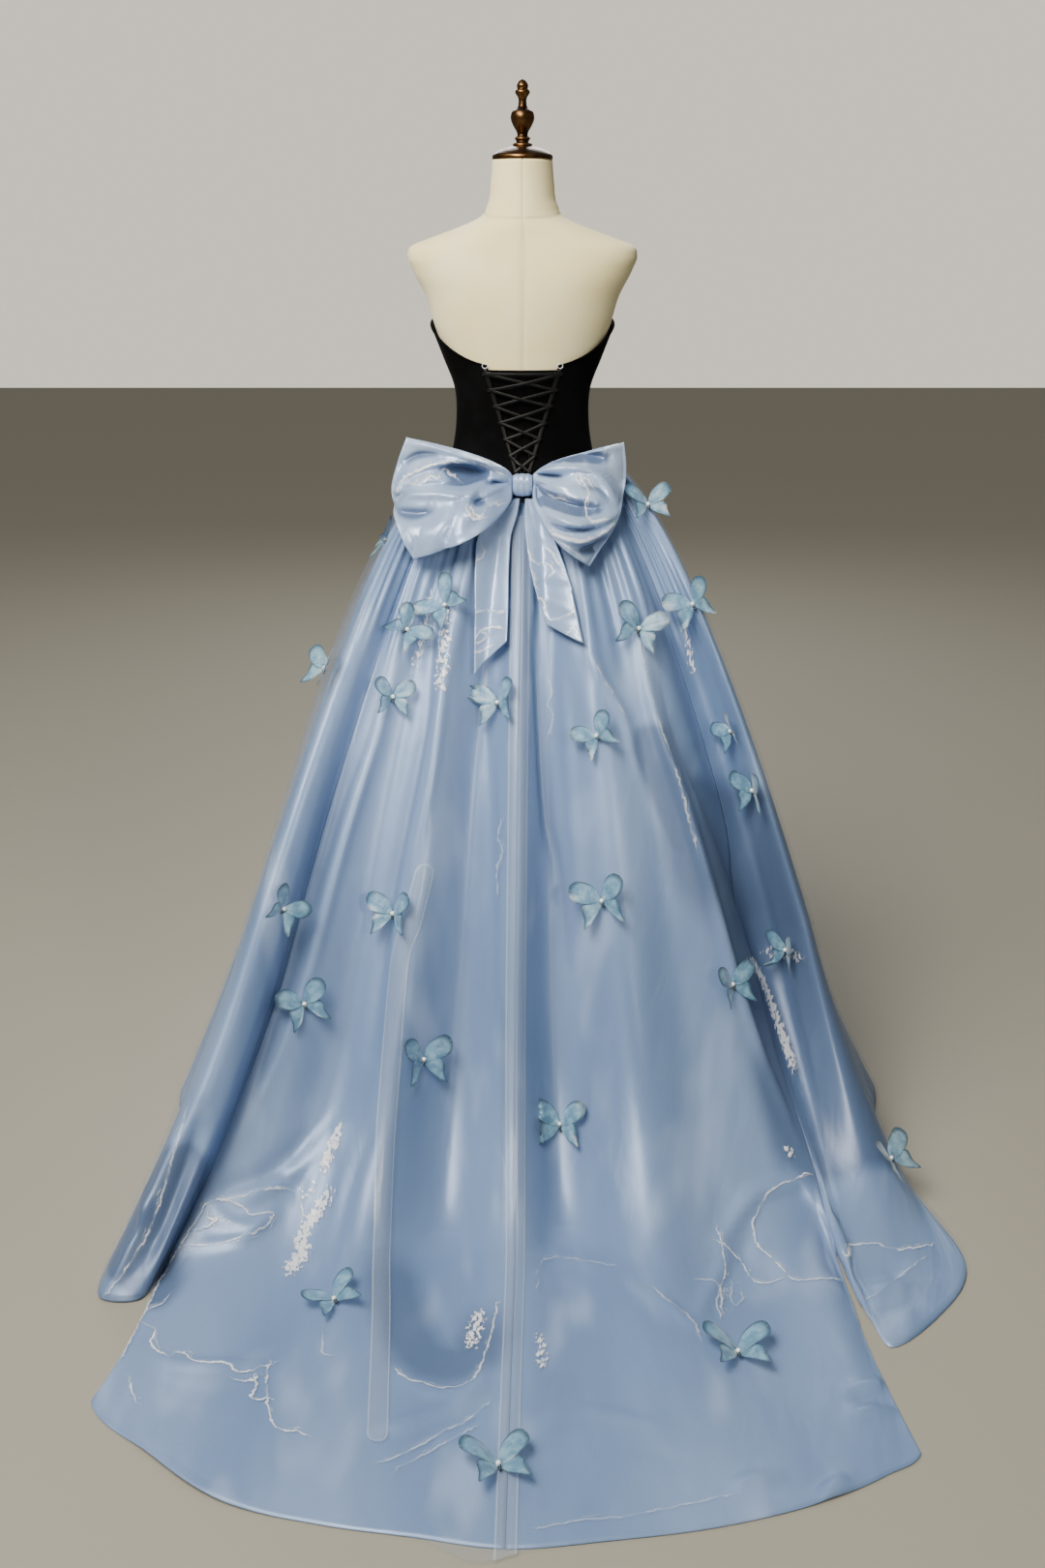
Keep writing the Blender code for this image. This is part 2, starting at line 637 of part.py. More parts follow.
def add_skirt():
    for name, first, last in (
        ("skirt_side_right", "train_edge_right", "valley_right_3"),
        ("skirt_front", "valley_right_3", "valley_left_3"),
        ("skirt_side_left", "valley_left_3", "train_edge_left"),
    ):
        columns = columns_between(first, last)
        outer, normals = SLOPE_GRID[:, columns], SLOPE_NORMALS[:, columns]
        inner = inner_skin(outer, normals, SATIN_WALL)
        add_sheet(name, part_seams(outer), part_seams(inner), SATIN)
    middle = list(TRAIN_COLUMNS).index(FIRST_COLUMNS["centre_back"])
    inner = inner_skin(TRAIN_GRID, TRAIN_NORMALS, SATIN_WALL)
    for name, part in (
        ("skirt_back_left", slice(0, middle + 1)),
        ("skirt_back_right", slice(middle, None)),
    ):
        add_sheet(name, part_seams(TRAIN_GRID[:, part]), part_seams(inner[:, part]), SATIN)


# ---- Overskirt


def smooth_across(grid, closed, times=4):
    """The grid with each row evened out along its columns."""
    for _ in range(times):
        if closed:
            around = (np.roll(grid, 1, axis=1) + np.roll(grid, -1, axis=1)) / 2
        else:
            around = grid.copy()
            around[:, 1:-1] = (grid[:, :-2] + grid[:, 2:]) / 2
        grid = (grid + around) / 2
    return grid


def sheer_grid():
    """Inner points of the overskirt for every column and row, and the way that its wall is built out."""
    rows = len(SLOPE_GRID)
    broad = normals_of(smooth_across(SLOPE_GRID, True), closed=True)
    left_side = np.clip(-SLOPE_GRID[..., 0] / 0.25, 0, 1)
    height = SLOPE_GRID[..., 2]
    facing = np.clip((broad * SLOPE_NORMALS).sum(axis=2), 0, 1) ** 2
    facing *= np.clip((FIRST_COLUMNS["train_edge_left"] - np.arange(COLUMNS)) / SHEER_BILLOW_COLUMNS, 0, 1)
    billow = SHEER_BILLOW * left_side * facing * np.exp(-(((height - SHEER_BILLOW_Z) / SHEER_BILLOW_DEPTH) ** 2))
    below_seam = np.minimum(np.arange(rows) / 2, 1)[:, None]
    lift = SHEER_LIFT * (0.12 + 0.88 * below_seam)
    grid = SLOPE_GRID + SLOPE_NORMALS * lift[..., None] + broad * (billow * below_seam)[..., None]
    grid[-1, :, 2] = np.maximum(grid[-1, :, 2], FLOOR_LIFT + SHEER_HEM_LIFT)
    whole = np.full((rows + len(TRAIN_ROWS), COLUMNS, 3), np.nan)
    ways = np.full_like(whole, np.nan)
    whole[:rows], ways[:rows] = grid, SLOPE_NORMALS
    train = TRAIN_GRID[rows:].copy()
    train[..., 2] += SHEER_HEM_LIFT / 2
    across = np.linspace(-1, 1, len(TRAIN_COLUMNS))
    tail = np.exp(-(((across - SHEER_TAIL_SHIFT) / SHEER_TAIL_WIDTH) ** 2))
    train[-1, :, 1] -= SHEER_OVERHANG * (tail + 1 / 6)
    whole[rows:, TRAIN_COLUMNS] = train
    ways[rows:, TRAIN_COLUMNS] = (0.0, 0.0, 1.0)
    return whole, ways


SHEER_GRID, SHEER_WAYS = sheer_grid()
SHEER_OUTER = SHEER_GRID + SHEER_WAYS * SHEER_WALL
BACK_COLUMNS = columns_between("valley_left_1", "valley_right_1")


def add_overskirt():
    slope_rows = len(SLOPE_GRID)
    on_train = set(TRAIN_COLUMNS.tolist())
    for name, first, last in (
        ("overskirt_right", "centre_back", "centre_front"),
        ("overskirt_left", "centre_front", "centre_back"),
    ):
        columns = columns_between(first, last)
        inner, outer = SHEER_GRID[:, columns], SHEER_OUTER[:, columns]

        def filled(row, column, columns=columns):
            both = {int(columns[column]), int(columns[column + 1])}
            return row < slope_rows - 1 or both <= on_train

        add_sheet(name, part_seams(outer), part_seams(inner), SHEER, filled)


# ---- Bodice


def opening_half(z):
    """Half width of the back opening: a V that ends in a narrow slit above the waist seam."""
    share = np.clip((z - OPENING_FOOT_Z) / (OPENING_TOP_Z - OPENING_FOOT_Z), 0, 1)
    return OPENING_FOOT_HALF + (OPENING_TOP_HALF - OPENING_FOOT_HALF) * share


def turn_at(x, z):
    """The turn at which the back of the form, at this height, is x from the centre."""
    x, z = np.broadcast_arrays(np.asarray(x, float), np.asarray(z, float))
    half_width, _, _, corner = smooth_table(FORM_SECTIONS, z.ravel()).T.reshape(4, *z.shape)
    return np.sign(x) * np.arcsin(np.clip(np.abs(x) / half_width, 0, 1) ** (1 / corner))


def top_z(turn):
    """Height of the bodice's top edge at a turn."""
    return smooth_table(TOP_EDGE, np.degrees(np.arccos(np.cos(turn))))[:, 0]


def bodice_edges(name, z):
    """Turns of a panel's two upright edges at a height."""
    side = SIDE_SEAM_TURN + 0 * z
    opening = turn_at(opening_half(z), z)
    return {
        "bodice_back_right": (opening, side),
        "bodice_front": (side, 2 * math.pi - side),
        "bodice_back_left": (-side, -opening),
    }[name]


def bodice_panel(name, columns):
    """Turn and height of a panel's points, from its top edge down to the waist seam."""
    share = np.linspace(0, 1, columns)
    first, last = bodice_edges(name, OPENING_TOP_Z)
    high = top_z(first + (last - first) * share)
    first, last = bodice_edges(name, BACK_SEAM_Z)
    foot_turn = first + (last - first) * share
    foot = form_points(foot_turn, seam_z(foot_turn))
    seam = SLOPE[0]
    around = np.arctan2(seam[:, 0], -seam[:, 1])
    low = np.interp(np.arctan2(foot[:, 0], -foot[:, 1]), around, seam[:, 2], period=2 * math.pi)
    down = np.linspace(0, 1, BODICE_ROWS)[:, None]
    z = high + (low + BODICE_SEAM_RISE - high) * down
    first, last = bodice_edges(name, z)
    return first + (last - first) * share, z


def add_bodice():
    for name, columns in (("bodice_back_right", 11), ("bodice_front", 25), ("bodice_back_left", 11)):
        turn, z = bodice_panel(name, columns)
        inner = form_points(turn, z, BODY_CLEARANCE)
        outer = form_points(turn, z, BODY_CLEARANCE + VELVET_WALL)
        add_sheet(name, part_seams(outer), part_seams(inner), VELVET)


def add_modesty_panel():
    """A plain panel behind the lacing, under the edges of the two backs."""
    down = np.linspace(0, 1, 8)[:, None]
    across = np.linspace(-1, 1, 6)
    top, foot = OPENING_TOP_Z - MODESTY_TOP_DROP, OPENING_FOOT_Z - MODESTY_FOOT_DROP
    z = top + (foot - top) * down + 0 * across
    turn = across * turn_at(opening_half(z) + MODESTY_UNDERLAP, z)
    inner = form_points(turn, z, MODESTY_OUT)
    outer = form_points(turn, z, MODESTY_OUT + RIBBON_WALL)
    add_sheet("modesty_panel", outer, inner, VELVET)


def add_loop_strips():
    """A tape down each edge of the opening, with a short tab for each loop of the lacing."""
    levels = sorted([z + side * TAB_HALF_HEIGHT for z in LACE_HEIGHTS for side in (1, -1)], reverse=True)
    levels = [levels[0] + TAPE_OVERRUN, *levels, levels[-1] - TAPE_OVERRUN]
    z = np.array(levels)[:, None] + 0 * np.array([TAPE_REACH])
    for name, side in (("loop_strip_left", -1), ("loop_strip_right", 1)):
        turn = side * turn_at(opening_half(z) + TAPE_REACH, z)
        tape = 0
        if side > 0:
            turn = turn[:, ::-1]
            tape = 1
        inner = form_points(turn, z, TAPE_OUT)
        outer = form_points(turn, z, TAPE_OUT + RIBBON_WALL)

        def filled(row, column, tape=tape):
            return column == tape or row % 2 == 1

        add_sheet(name, outer, inner, RIBBON, filled)


def ribbon_leg(name, start, end):
    """One straight run of ribbon over the back, between two (x, z) places."""
    start, end = np.array(start), np.array(end)
    length = np.linalg.norm(end - start)
    ahead = (end - start) / length
    across = np.array([-ahead[1], ahead[0]]) * RIBBON_WIDTH / 2
    overrun = ahead * RIBBON_WIDTH * RIBBON_OVERRUN
    steps = 2 + round(length / RIBBON_STEP)
    middle = np.linspace(start - overrun, end + overrun, steps)
    places = np.array([middle - across, middle + across])
    if start[0] > end[0]:
        places = places[:, ::-1]
    else:
        places = places[::-1]
    turn = turn_at(places[..., 0], places[..., 1])
    outer = form_points(turn, places[..., 1], LACE_OUT + RIBBON_WALL)
    inner = form_points(turn, places[..., 1], LACE_OUT)
    return add_sheet(name, outer, inner, RIBBON)


def add_lacing():
    """One ribbon: a bar across the top, then a cross between each pair of loops."""
    half = opening_half(LACE_HEIGHTS) + LACE_OVERLAP
    z = LACE_HEIGHTS
    legs = [((-half[0], z[0]), (half[0], z[0]))]
    for i in range(LACE_ROWS - 1):
        legs.append(((-half[i], z[i]), (half[i + 1], z[i + 1])))
        legs.append(((-half[i + 1], z[i + 1]), (half[i], z[i])))
    lacing = ribbon_leg("lacing", *legs[0])
    for number, leg in enumerate(legs[1:], 1):
        piece = ribbon_leg(f"lace_leg_{number:02}", *leg)
        piece.hide_render = True
        piece.display_type = "WIRE"
        join = lacing.modifiers.new(piece.name, "BOOLEAN")
        join.operation = "UNION"
        join.object = piece


# ---- Bow


def backmost(x, z):
    """How far back (-Y) the gown reaches at a place seen from behind."""
    depths = [float(form_points(0.0, max(z, BACK_SEAM_Z), BODY_CLEARANCE + 2 * VELVET_WALL)[1])]
    plan = []
    for column in BACK_COLUMNS:
        line = SHEER_OUTER[: len(SLOPE_GRID), column][::-1]
        if z < line[-1, 2]:
            plan.append([np.interp(z, line[:, 2], line[:, k]) for k in (0, 1)])
    for (x0, y0), (x1, y1) in zip(plan[:-1], plan[1:]):
        if x0 != x1 and min(x0, x1) <= x <= max(x0, x1):
            depths.append(y0 + (y1 - y0) * (x - x0) / (x1 - x0))
    return min(depths)


def behind(x, z, gap):
    """A depth that clears the gown by a gap, evened out over a small patch of it."""
    patch = (-BOW_PATCH, 0, BOW_PATCH)
    return min(backmost(x + dx, z + dz) for dx in patch for dz in patch) - gap


def loop_grid(side, sign):
    """Outer points of a bow loop: rows from its top edge down, columns from the knot out and back."""
    out = [math.sin(math.pi / 2 * i / LOOP_STEPS) ** LOOP_STATION_POWER for i in range(LOOP_STEPS + 1)]
    stations = [(share, "back") for share in out] + [(share, "front") for share in reversed(out[:-1])]
    grid = []
    for across in np.linspace(0, 1, LOOP_ROWS):
        edge_x, edge_z = smooth_table(LOOP_EDGES[side], across)[0]
        knot_x = sign * (KNOT_HALF_WIDTH + LOOP_ROOT_GAP)
        knot_z = KNOT_Z + LOOP_ROOT_HALF_HEIGHT * (1 - 2 * across)
        line = []
        for share, face in stations:
            x = knot_x + (edge_x - knot_x) * share
            z = knot_z + (edge_z - knot_z) * share**LOOP_FLARE
            swell = LOOP_FULLNESS * math.sin(math.pi * min(share, LOOP_CLOSED) ** LOOP_FULLEST)
            swell += LOOP_LIP * (1 - share**LOOP_LIP_POWER)
            fade = math.sin(math.pi * share**LOOP_GATHER_POWER) ** 2
            gathers = math.cos(2 * math.pi * LOOP_GATHERS * across) * fade
            lift = LOOP_GAP - LOOP_BACK_SHARE * swell
            if face == "front":
                lift = LOOP_GAP + LOOP_FRONT_SHARE * swell + LOOP_GATHER_DEPTH * gathers
            line.append((x, behind(x, z, LOOP_CLEARANCE) - lift, z))
        grid.append(line)
    return np.array(grid)


def add_bow_loops():
    for side, sign in (("left", -1), ("right", 1)):
        outer = loop_grid(side, sign)
        if side == "left":
            outer = outer[:, ::-1]
        add_sheet(f"bow_loop_{side}", outer, outer - normals_of(outer) * BOW_WALL, SATIN)


def add_bow_knot():
    """A short rounded band, pinched at its ends, that holds the two loops and the tails."""
    knot_y = (behind(-KNOT_HALF_WIDTH, KNOT_Z, KNOT_GAP) + behind(KNOT_HALF_WIDTH, KNOT_Z, KNOT_GAP)) / 2
    rings = []
    for x, grow in KNOT_RINGS:
        for turn in np.linspace(0, 2 * math.pi, KNOT_SIDES, endpoint=False):
            y = math.copysign(abs(math.cos(turn)) ** KNOT_BOXINESS, math.cos(turn)) * KNOT_HALF_DEPTH * grow
            z = math.copysign(abs(math.sin(turn)) ** KNOT_BOXINESS, math.sin(turn)) * KNOT_HALF_HEIGHT * grow
            rings.append((x * KNOT_HALF_WIDTH, knot_y - y, KNOT_Z - z))
    add_object("bow_knot", rings, ring_faces(len(KNOT_RINGS), KNOT_SIDES), SATIN)


def add_bow_tails():
    """Two flat ribbons that hang from the knot over the skirt, each cut on a slant."""
    for side in ("left", "right"):
        centre_line = [(-z, x, half) for z, x, half in TAILS[side]]
        top, foot = TAILS[side][0][0], TAILS[side][-1][0]
        grid = []
        for z in np.linspace(top, foot, TAIL_ROWS):
            x, half = smooth_table(centre_line, -z)[0]
            near_foot = np.clip(1 - (z - foot) / TAIL_SLANT_LENGTH, 0, 1)
            line = []
            for across in (-1, -0.5, 0, 0.5, 1):
                place_x = x + half * across
                place_z = z + TAIL_SLANTS[side] * near_foot * across
                line.append((place_x, behind(place_x, place_z, TAIL_GAP), place_z))
            grid.append(line)
        inner = np.array(grid)
        outer = inner - np.array([0.0, BOW_WALL, 0.0])
        add_sheet(f"bow_tail_{side}", outer, inner, SATIN)


# ---- Butterflies


def down_cloth(column):
    """The overskirt's outer points down one column, and the distance to each from the seam."""
    line = SHEER_OUTER[:, column]
    line = line[~np.isnan(line[:, 0])]
    steps = np.linalg.norm(np.diff(line, axis=0), axis=1)
    return line, np.concatenate([[0], np.cumsum(steps)])


def on_cloth(fold, drop):
    """A place on the overskirt: so many folds round, and so far down from the seam."""
    starts = [*FIRST_COLUMNS.values(), COLUMNS]
    column = np.interp(fold % len(FOLDS), range(len(starts)), starts)
    first = math.floor(column)
    places = []
    for near in (first, first + 1):
        line, distance = down_cloth(near % COLUMNS)
        places.append(np.array([np.interp(drop, distance, line[:, k]) for k in range(3)]))
    return places[0] + (places[1] - places[0]) * (column - first)


def butterfly_frame(fold, drop, degrees):
    """A butterfly's centre, and its ways across, towards its head and out from the cloth."""
    up = on_cloth(fold, drop - LAY_STEP) - on_cloth(fold, drop + LAY_STEP)
    right = on_cloth(fold + LAY_FOLDS, drop) - on_cloth(fold - LAY_FOLDS, drop)
    outward = np.cross(right, up)
    outward /= np.linalg.norm(outward)
    up /= np.linalg.norm(up)
    right = np.cross(up, outward)
    turn = math.radians(degrees)
    across = right * math.cos(turn) + up * math.sin(turn)
    return on_cloth(fold, drop), across, np.cross(outward, across), outward


def butterfly_outline():
    mirrored = [(-x, y) for x, y in reversed(WING_OUTLINE)]
    return [(0.0, HEAD_Y), *WING_OUTLINE, (0.0, TAIL_Y), *mirrored]


def wing_slopes(fold, drop, degrees, width):
    """How steeply a butterfly's left (-1) and right (1) wings stand up, to clear the cloth there."""
    centre, across, along, outward = butterfly_frame(fold, drop, degrees)
    both_sides = on_cloth(fold + LAY_FOLDS, drop) - on_cloth(fold - LAY_FOLDS, drop)
    fold_width = np.linalg.norm(both_sides) / (2 * LAY_FOLDS)
    slopes = {-1: WING_SLOPE, 1: WING_SLOPE}
    for right in WING_SEARCH * width:
        for up in WING_SEARCH * width:
            cloth = on_cloth(fold + right / fold_width, drop - up) - centre
            x, y, height = cloth @ across / width, cloth @ along / width, cloth @ outward / width
            if WING_NEAR < abs(x) < WING_FAR and abs(y) < WING_HALF_HEIGHT:
                side = 1 if x > 0 else -1
                slopes[side] = max(slopes[side], height / abs(x) + WING_CLEAR_SLOPE)
    return slopes


def add_butterflies():
    """Each is a thin plate, its body on the cloth and its two pairs of wings lifted off it."""
    outline = butterfly_outline()
    under = len(outline) + 1
    faces = []
    for i in range(len(outline)):
        a, b = 1 + i, 1 + (i + 1) % len(outline)
        faces += [(0, b, a), (under, under + a, under + b)]
        faces += [(a, b, b + under), (a, b + under, a + under)]
    for number, (fold, drop, degrees, width) in enumerate(BUTTERFLIES, 1):
        centre, across, along, outward = butterfly_frame(fold, drop, degrees)
        slopes = wing_slopes(fold, drop, degrees, width)
        points = []
        for lift in (BUTTERFLY_LIFT + SHEER_WALL, BUTTERFLY_LIFT):
            for x, y in [(0.0, 0.0), *outline]:
                rise = lift + slopes[1 if x > 0 else -1] * abs(x) * width
                points.append(centre + across * x * width + along * y * width + outward * rise)
        add_object(f"butterfly_{number:02}", points, faces, WING)


def main():
    add_stand()
    add_form()
    add_bodice()
    add_modesty_panel()
    add_loop_strips()
    add_lacing()
    add_skirt()
    add_overskirt()
    add_bow_loops()
    add_bow_knot()
    add_bow_tails()
    add_butterflies()


main()
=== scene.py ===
import math
from functools import partial

import bmesh
import bpy
import numpy as np
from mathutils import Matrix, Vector
from mathutils.bvhtree import BVHTree


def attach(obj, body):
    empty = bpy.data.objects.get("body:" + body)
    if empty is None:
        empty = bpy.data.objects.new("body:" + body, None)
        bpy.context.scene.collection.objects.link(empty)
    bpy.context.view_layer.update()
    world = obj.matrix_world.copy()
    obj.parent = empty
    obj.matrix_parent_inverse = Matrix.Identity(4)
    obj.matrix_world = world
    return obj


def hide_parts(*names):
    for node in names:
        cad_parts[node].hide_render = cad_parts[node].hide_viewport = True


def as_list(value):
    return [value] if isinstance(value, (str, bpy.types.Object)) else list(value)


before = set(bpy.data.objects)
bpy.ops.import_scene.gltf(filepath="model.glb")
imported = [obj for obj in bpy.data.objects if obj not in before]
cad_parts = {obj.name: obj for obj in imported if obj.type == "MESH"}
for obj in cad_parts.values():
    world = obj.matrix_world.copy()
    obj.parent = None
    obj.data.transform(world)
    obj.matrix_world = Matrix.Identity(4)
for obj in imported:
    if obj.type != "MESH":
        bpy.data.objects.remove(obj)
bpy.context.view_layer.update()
print("frame loaded,", len(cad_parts), "nodes")

# Everything is in metres. The gown's back and its train point to -Y; a turn goes round the form from
# the centre back towards +X; a fold number counts the skirt's folds the same way.


def toLinear(hexColour):
    # a hex colour as Blender's linear colour
    made = []
    for i in (0, 2, 4):
        value = int(hexColour[i : i + 2], 16) / 255
        made.append(value / 12.92 if value <= 0.04045 else ((value + 0.055) / 1.055) ** 2.4)
    return (*made, 1.0)


def setInput(tree, socket, value):
    # an input takes another node's socket, a hex colour or a plain value
    if isinstance(value, bpy.types.NodeSocket):
        tree.links.new(value, socket)
    else:
        socket.default_value = toLinear(value) if socket.type == "RGBA" else value


def addNode(tree, kind, inputs=(), output=0, **settings):
    # one node with its settings and inputs, and the wanted output; "add" is this for one tree
    node = tree.nodes.new(kind if "Node" in kind else "ShaderNode" + kind)
    for name, value in settings.items():
        setattr(node, name, value)
    for name, value in inputs.items() if isinstance(inputs, dict) else enumerate(inputs):
        setInput(tree, node.inputs[name], value)
    return node if output is None else node.outputs[output]


def newMaterial(name):
    made = bpy.data.materials.new(name)
    made.use_nodes = True
    return made, partial(addNode, made.node_tree)


def setShader(material, inputs):
    tree = material.node_tree
    for name, value in inputs.items():
        setInput(tree, tree.nodes["Principled BSDF"].inputs[name], value)
    return material


def paintOver(add, colour, *coats):
    # coats of colour over a first one, each with its share from 0 to 1
    for share, coat in coats:
        colour = add("Mix", {0: share, 6: colour, 7: coat}, 2, data_type="RGBA")
    return colour


def clothCoords(add, scaleX=1.0, scaleY=1.0):
    # the piece's own map: metres round and metres down, times a scale
    uv = add("UVMap", uv_map="cloth")
    return add("Mapping", {"Vector": uv, "Scale": (scaleX, scaleY, 1.0)})


smooth = {"interpolation_type": "SMOOTHSTEP"}
times, plus, minus, most, least, magnitude, timesPlus = (
    {"operation": word}
    for word in ("MULTIPLY", "ADD", "SUBTRACT", "MAXIMUM", "MINIMUM", "ABSOLUTE", "MULTIPLY_ADD")
)


def creaseGlintLines(add):
    # crease lines of the cloth, from its own numbers, for painted glints and their relief: jagged,
    # 3 mm wide and broken, each with a thinner one beside it
    fine = {"Vector": clothCoords(add, 70.0, 70.0), "Scale": 1.0, "Detail": 4.0, "Roughness": 0.65}
    jagged = add("TexNoise", fine)
    wobble = add("Math", (jagged, 0.012, -0.006), **timesPlus)
    broken = add("TexNoise", {"Vector": clothCoords(add, 34.0, 34.0), "Scale": 1.0, "Detail": 2.0})
    whole = add("MapRange", (broken, 0.34, 0.56, 0.25, 1.0), **smooth)
    twin = add("MapRange", (broken, 0.5, 0.62, 0.0, 0.6), **smooth)
    lines = 0.0
    for layer in range(3):
        signed = add("Attribute", output="Fac", attribute_name=f"creaseGlint{layer}")
        strength = add("Attribute", output="Fac", attribute_name=f"strength{layer}")
        shifted = add("Math", (signed, wobble), **plus)
        beside = add("Math", (wobble, 0.6, shifted), **timesPlus)
        beside = add("Math", (beside, 0.0045), **minus)
        both = []
        for place, core, rim, share in ((shifted, 0.0007, 0.0024, whole), (beside, 0.0004, 0.0014, twin)):
            away = add("Math", (place,), **magnitude)
            near = add("MapRange", (away, core, rim, 1.0, 0.0), **smooth)
            both.append(add("Math", (near, share), **times))
        shown = add("Math", (add("Math", both, **most), strength), **times)
        lines = add("Math", (lines, shown), **most)
    return lines


def satinMaterial(name, tones, crumple, metallic, gloss, paintedShadeFullAt, creaseGlinted=False):
    # polyester duchess satin, woven with long floats: soft milky gloss, broad highlights that run
    # down the folds, and small broken glints where the cloth is crumpled; painted shade darkens its colour
    # deep in the folds, and painted glint lines can lie along its creases
    made, add = newMaterial(name)
    broad = add("TexNoise", {"Vector": clothCoords(add, 5.0, 1.3), "Scale": 1.0, "Detail": 3.0})
    patch = add("TexNoise", {"Vector": clothCoords(add, 9.0, 4.0), "Scale": 1.0, "Detail": 2.0})
    # painted shade: deep in a fold, and where the table of painted shades says so, the colour is painted
    # darker towards a deep blue
    depth = add("Attribute", output="Fac", attribute_name="depth")
    colour = paintOver(
        add,
        tones[0],
        (add("MapRange", (broad, 0.35, 0.68), **smooth), tones[1]),
        (add("MapRange", (patch, 0.52, 0.74, 0.0, 0.7), **smooth), tones[2]),
        (add("MapRange", (depth, 0.0015, paintedShadeFullAt, 0.0, 0.75), **smooth), "324972"),
    )
    # crumple: dents 20 to 60 mm across; floats: real ones are 0.1 mm apart, drawn at 1.6 mm to show
    crushed = {"Vector": clothCoords(add, 26.0, 12.0), "Scale": 1.0, "Detail": 2.0, "Distortion": 0.6}
    dents = add("TexNoise", crushed)
    woven = {"Vector": clothCoords(add), "Scale": 100.0, "Distortion": 1.5, "Detail": 1.0}
    floats = add("TexWave", woven, 1, bands_direction="Y")
    bump = add("Bump", {"Strength": crumple, "Distance": 0.006, "Height": dents})
    bump = add("Bump", {"Strength": 0.05, "Distance": 0.0005, "Height": floats, "Normal": bump})
    if creaseGlinted:
        # painted highlight: glint lines painted near white along the creases, with a relief
        lines = creaseGlintLines(add)
        colour = paintOver(add, colour, (add("Math", (lines, 0.85), **times), "F6F9FF"))
        bump = add("Bump", {"Strength": 0.5, "Distance": 0.002, "Height": lines, "Normal": bump})
    rough = add("MapRange", (patch, 0.3, 0.7, gloss, gloss + 0.12))
    sheen = {"Metallic": metallic, "Sheen Weight": 0.04, "Sheen Roughness": 0.4}
    return setShader(made, {**sheen, "Base Color": colour, "Roughness": rough, "Normal": bump})


satin = satinMaterial("satinWovenBlue", ("6683B0", "7F9AC4", "9FB5DA"), 0.22, 0.18, 0.35, 0.030)
# the bow's satin is the skirt's cloth in lighter tones, painted light; it also takes painted shade in its
# fold troughs
bowSatinPaintedLighter = satinMaterial("satinWovenBlueBowPaintedLighter", ("8CA5CD", "AABFE0", "CBD9EF"), 0.3, 0.18, 0.24, 0.009, True)


def organzaMaterial():
    # liquid organza, a plain weave of flat glassy threads: see-through, whiter where it doubles, with
    # hard bright squiggles painted near white along its creases, and painted glint flakes in streaks
    made, add = newMaterial("organzaWovenGlassThread")
    line = add("Attribute", output="Fac", attribute_name="foldLine")
    glint = add("Attribute", output="Fac", attribute_name="glint")
    doubled = add("MapRange", (line, 0.0112, 0.0130, 1.0, 0.0), **smooth)
    inner = add("MapRange", (line, 0.0108, 0.0120), **smooth)
    outer = add("MapRange", (line, 0.0128, 0.0140), **smooth)
    rim = add("Math", (inner, outer), **minus)
    # flakes where threads are crushed, painted near white as glints, 3 to 8 mm
    crushed = {"Vector": clothCoords(add, 170.0, 110.0), "Scale": 1.0, "Detail": 3.0, "Roughness": 0.6}
    flaky = add("TexNoise", crushed)
    covered = add("Math", (glint, 0.26, flaky), **timesPlus)
    covered = add("MapRange", (covered, 0.62, 0.70), **smooth)
    streak = add("MapRange", (glint, 0.05, 0.3), **smooth)
    flakes = add("Math", (covered, streak), **times)
    # painted highlight: the crease lines and flakes are painted near white and made more opaque
    paintedGlints = add("Math", (creaseGlintLines(add), flakes), **plus)
    paintedGlints = add("Math", (paintedGlints, 1.0), **least)
    edge = add("Math", (rim, 0.75), **times)
    colour = paintOver(add, "93A9C8", (doubled, "A3B4CC"), (edge, "C9D4E2"), (paintedGlints, "F4F8FF"))
    # 16 threads to the centimetre are drawn as a grid 1.6 mm apart
    woven = {"Vector": clothCoords(add), "Scale": 100.0, "Distortion": 0.4}
    weft, warp = (add("TexWave", woven, 1, bands_direction=way) for way in ("X", "Y"))
    alpha = add("Math", (doubled, 0.16, 0.07), **timesPlus)
    for share, part in ((0.05, weft), (0.05, warp), (0.25, rim), (0.62, paintedGlints)):
        alpha = add("Math", (part, share, alpha), **timesPlus)
    alpha = add("Math", (alpha, 1.0), **least)
    crushed = {"Vector": clothCoords(add, 18.0, 10.0), "Scale": 1.0, "Detail": 3.0, "Distortion": 0.8}
    dents = add("TexNoise", crushed)
    bump = add("Bump", {"Strength": 0.3, "Distance": 0.006, "Height": dents})
    bump = add("Bump", {"Strength": 0.5, "Distance": 0.002, "Height": paintedGlints, "Normal": bump})
    sheen = {"Sheen Weight": 0.15, "Sheen Roughness": 0.3, "Sheen Tint": "E4ECF6"}
    gloss = {"Roughness": 0.25, "Specular IOR Level": 0.7}
    return setShader(made, {**sheen, **gloss, "Base Color": colour, "Alpha": alpha, "Normal": bump})


organza = organzaMaterial()


def blackMaterial(name, look, shades, mottled, fibres, fibreBump):
    # a near black finish: two shades and the limits between them, mottled at one scale, with a fine
    # relief at another
    made, add = newMaterial(name)
    where = add("TexCoord", output="Object")
    brushed = add("TexNoise", {"Vector": where, **mottled})
    fibre = add("TexNoise", {"Vector": where, **fibres})
    share = add("MapRange", (brushed, *shades[:2]), **smooth)
    colour = paintOver(add, shades[2], (share, shades[3]))
    bump = add("Bump", {**fibreBump, "Height": fibre})
    return setShader(made, {**look, "Base Color": colour, "Normal": bump})


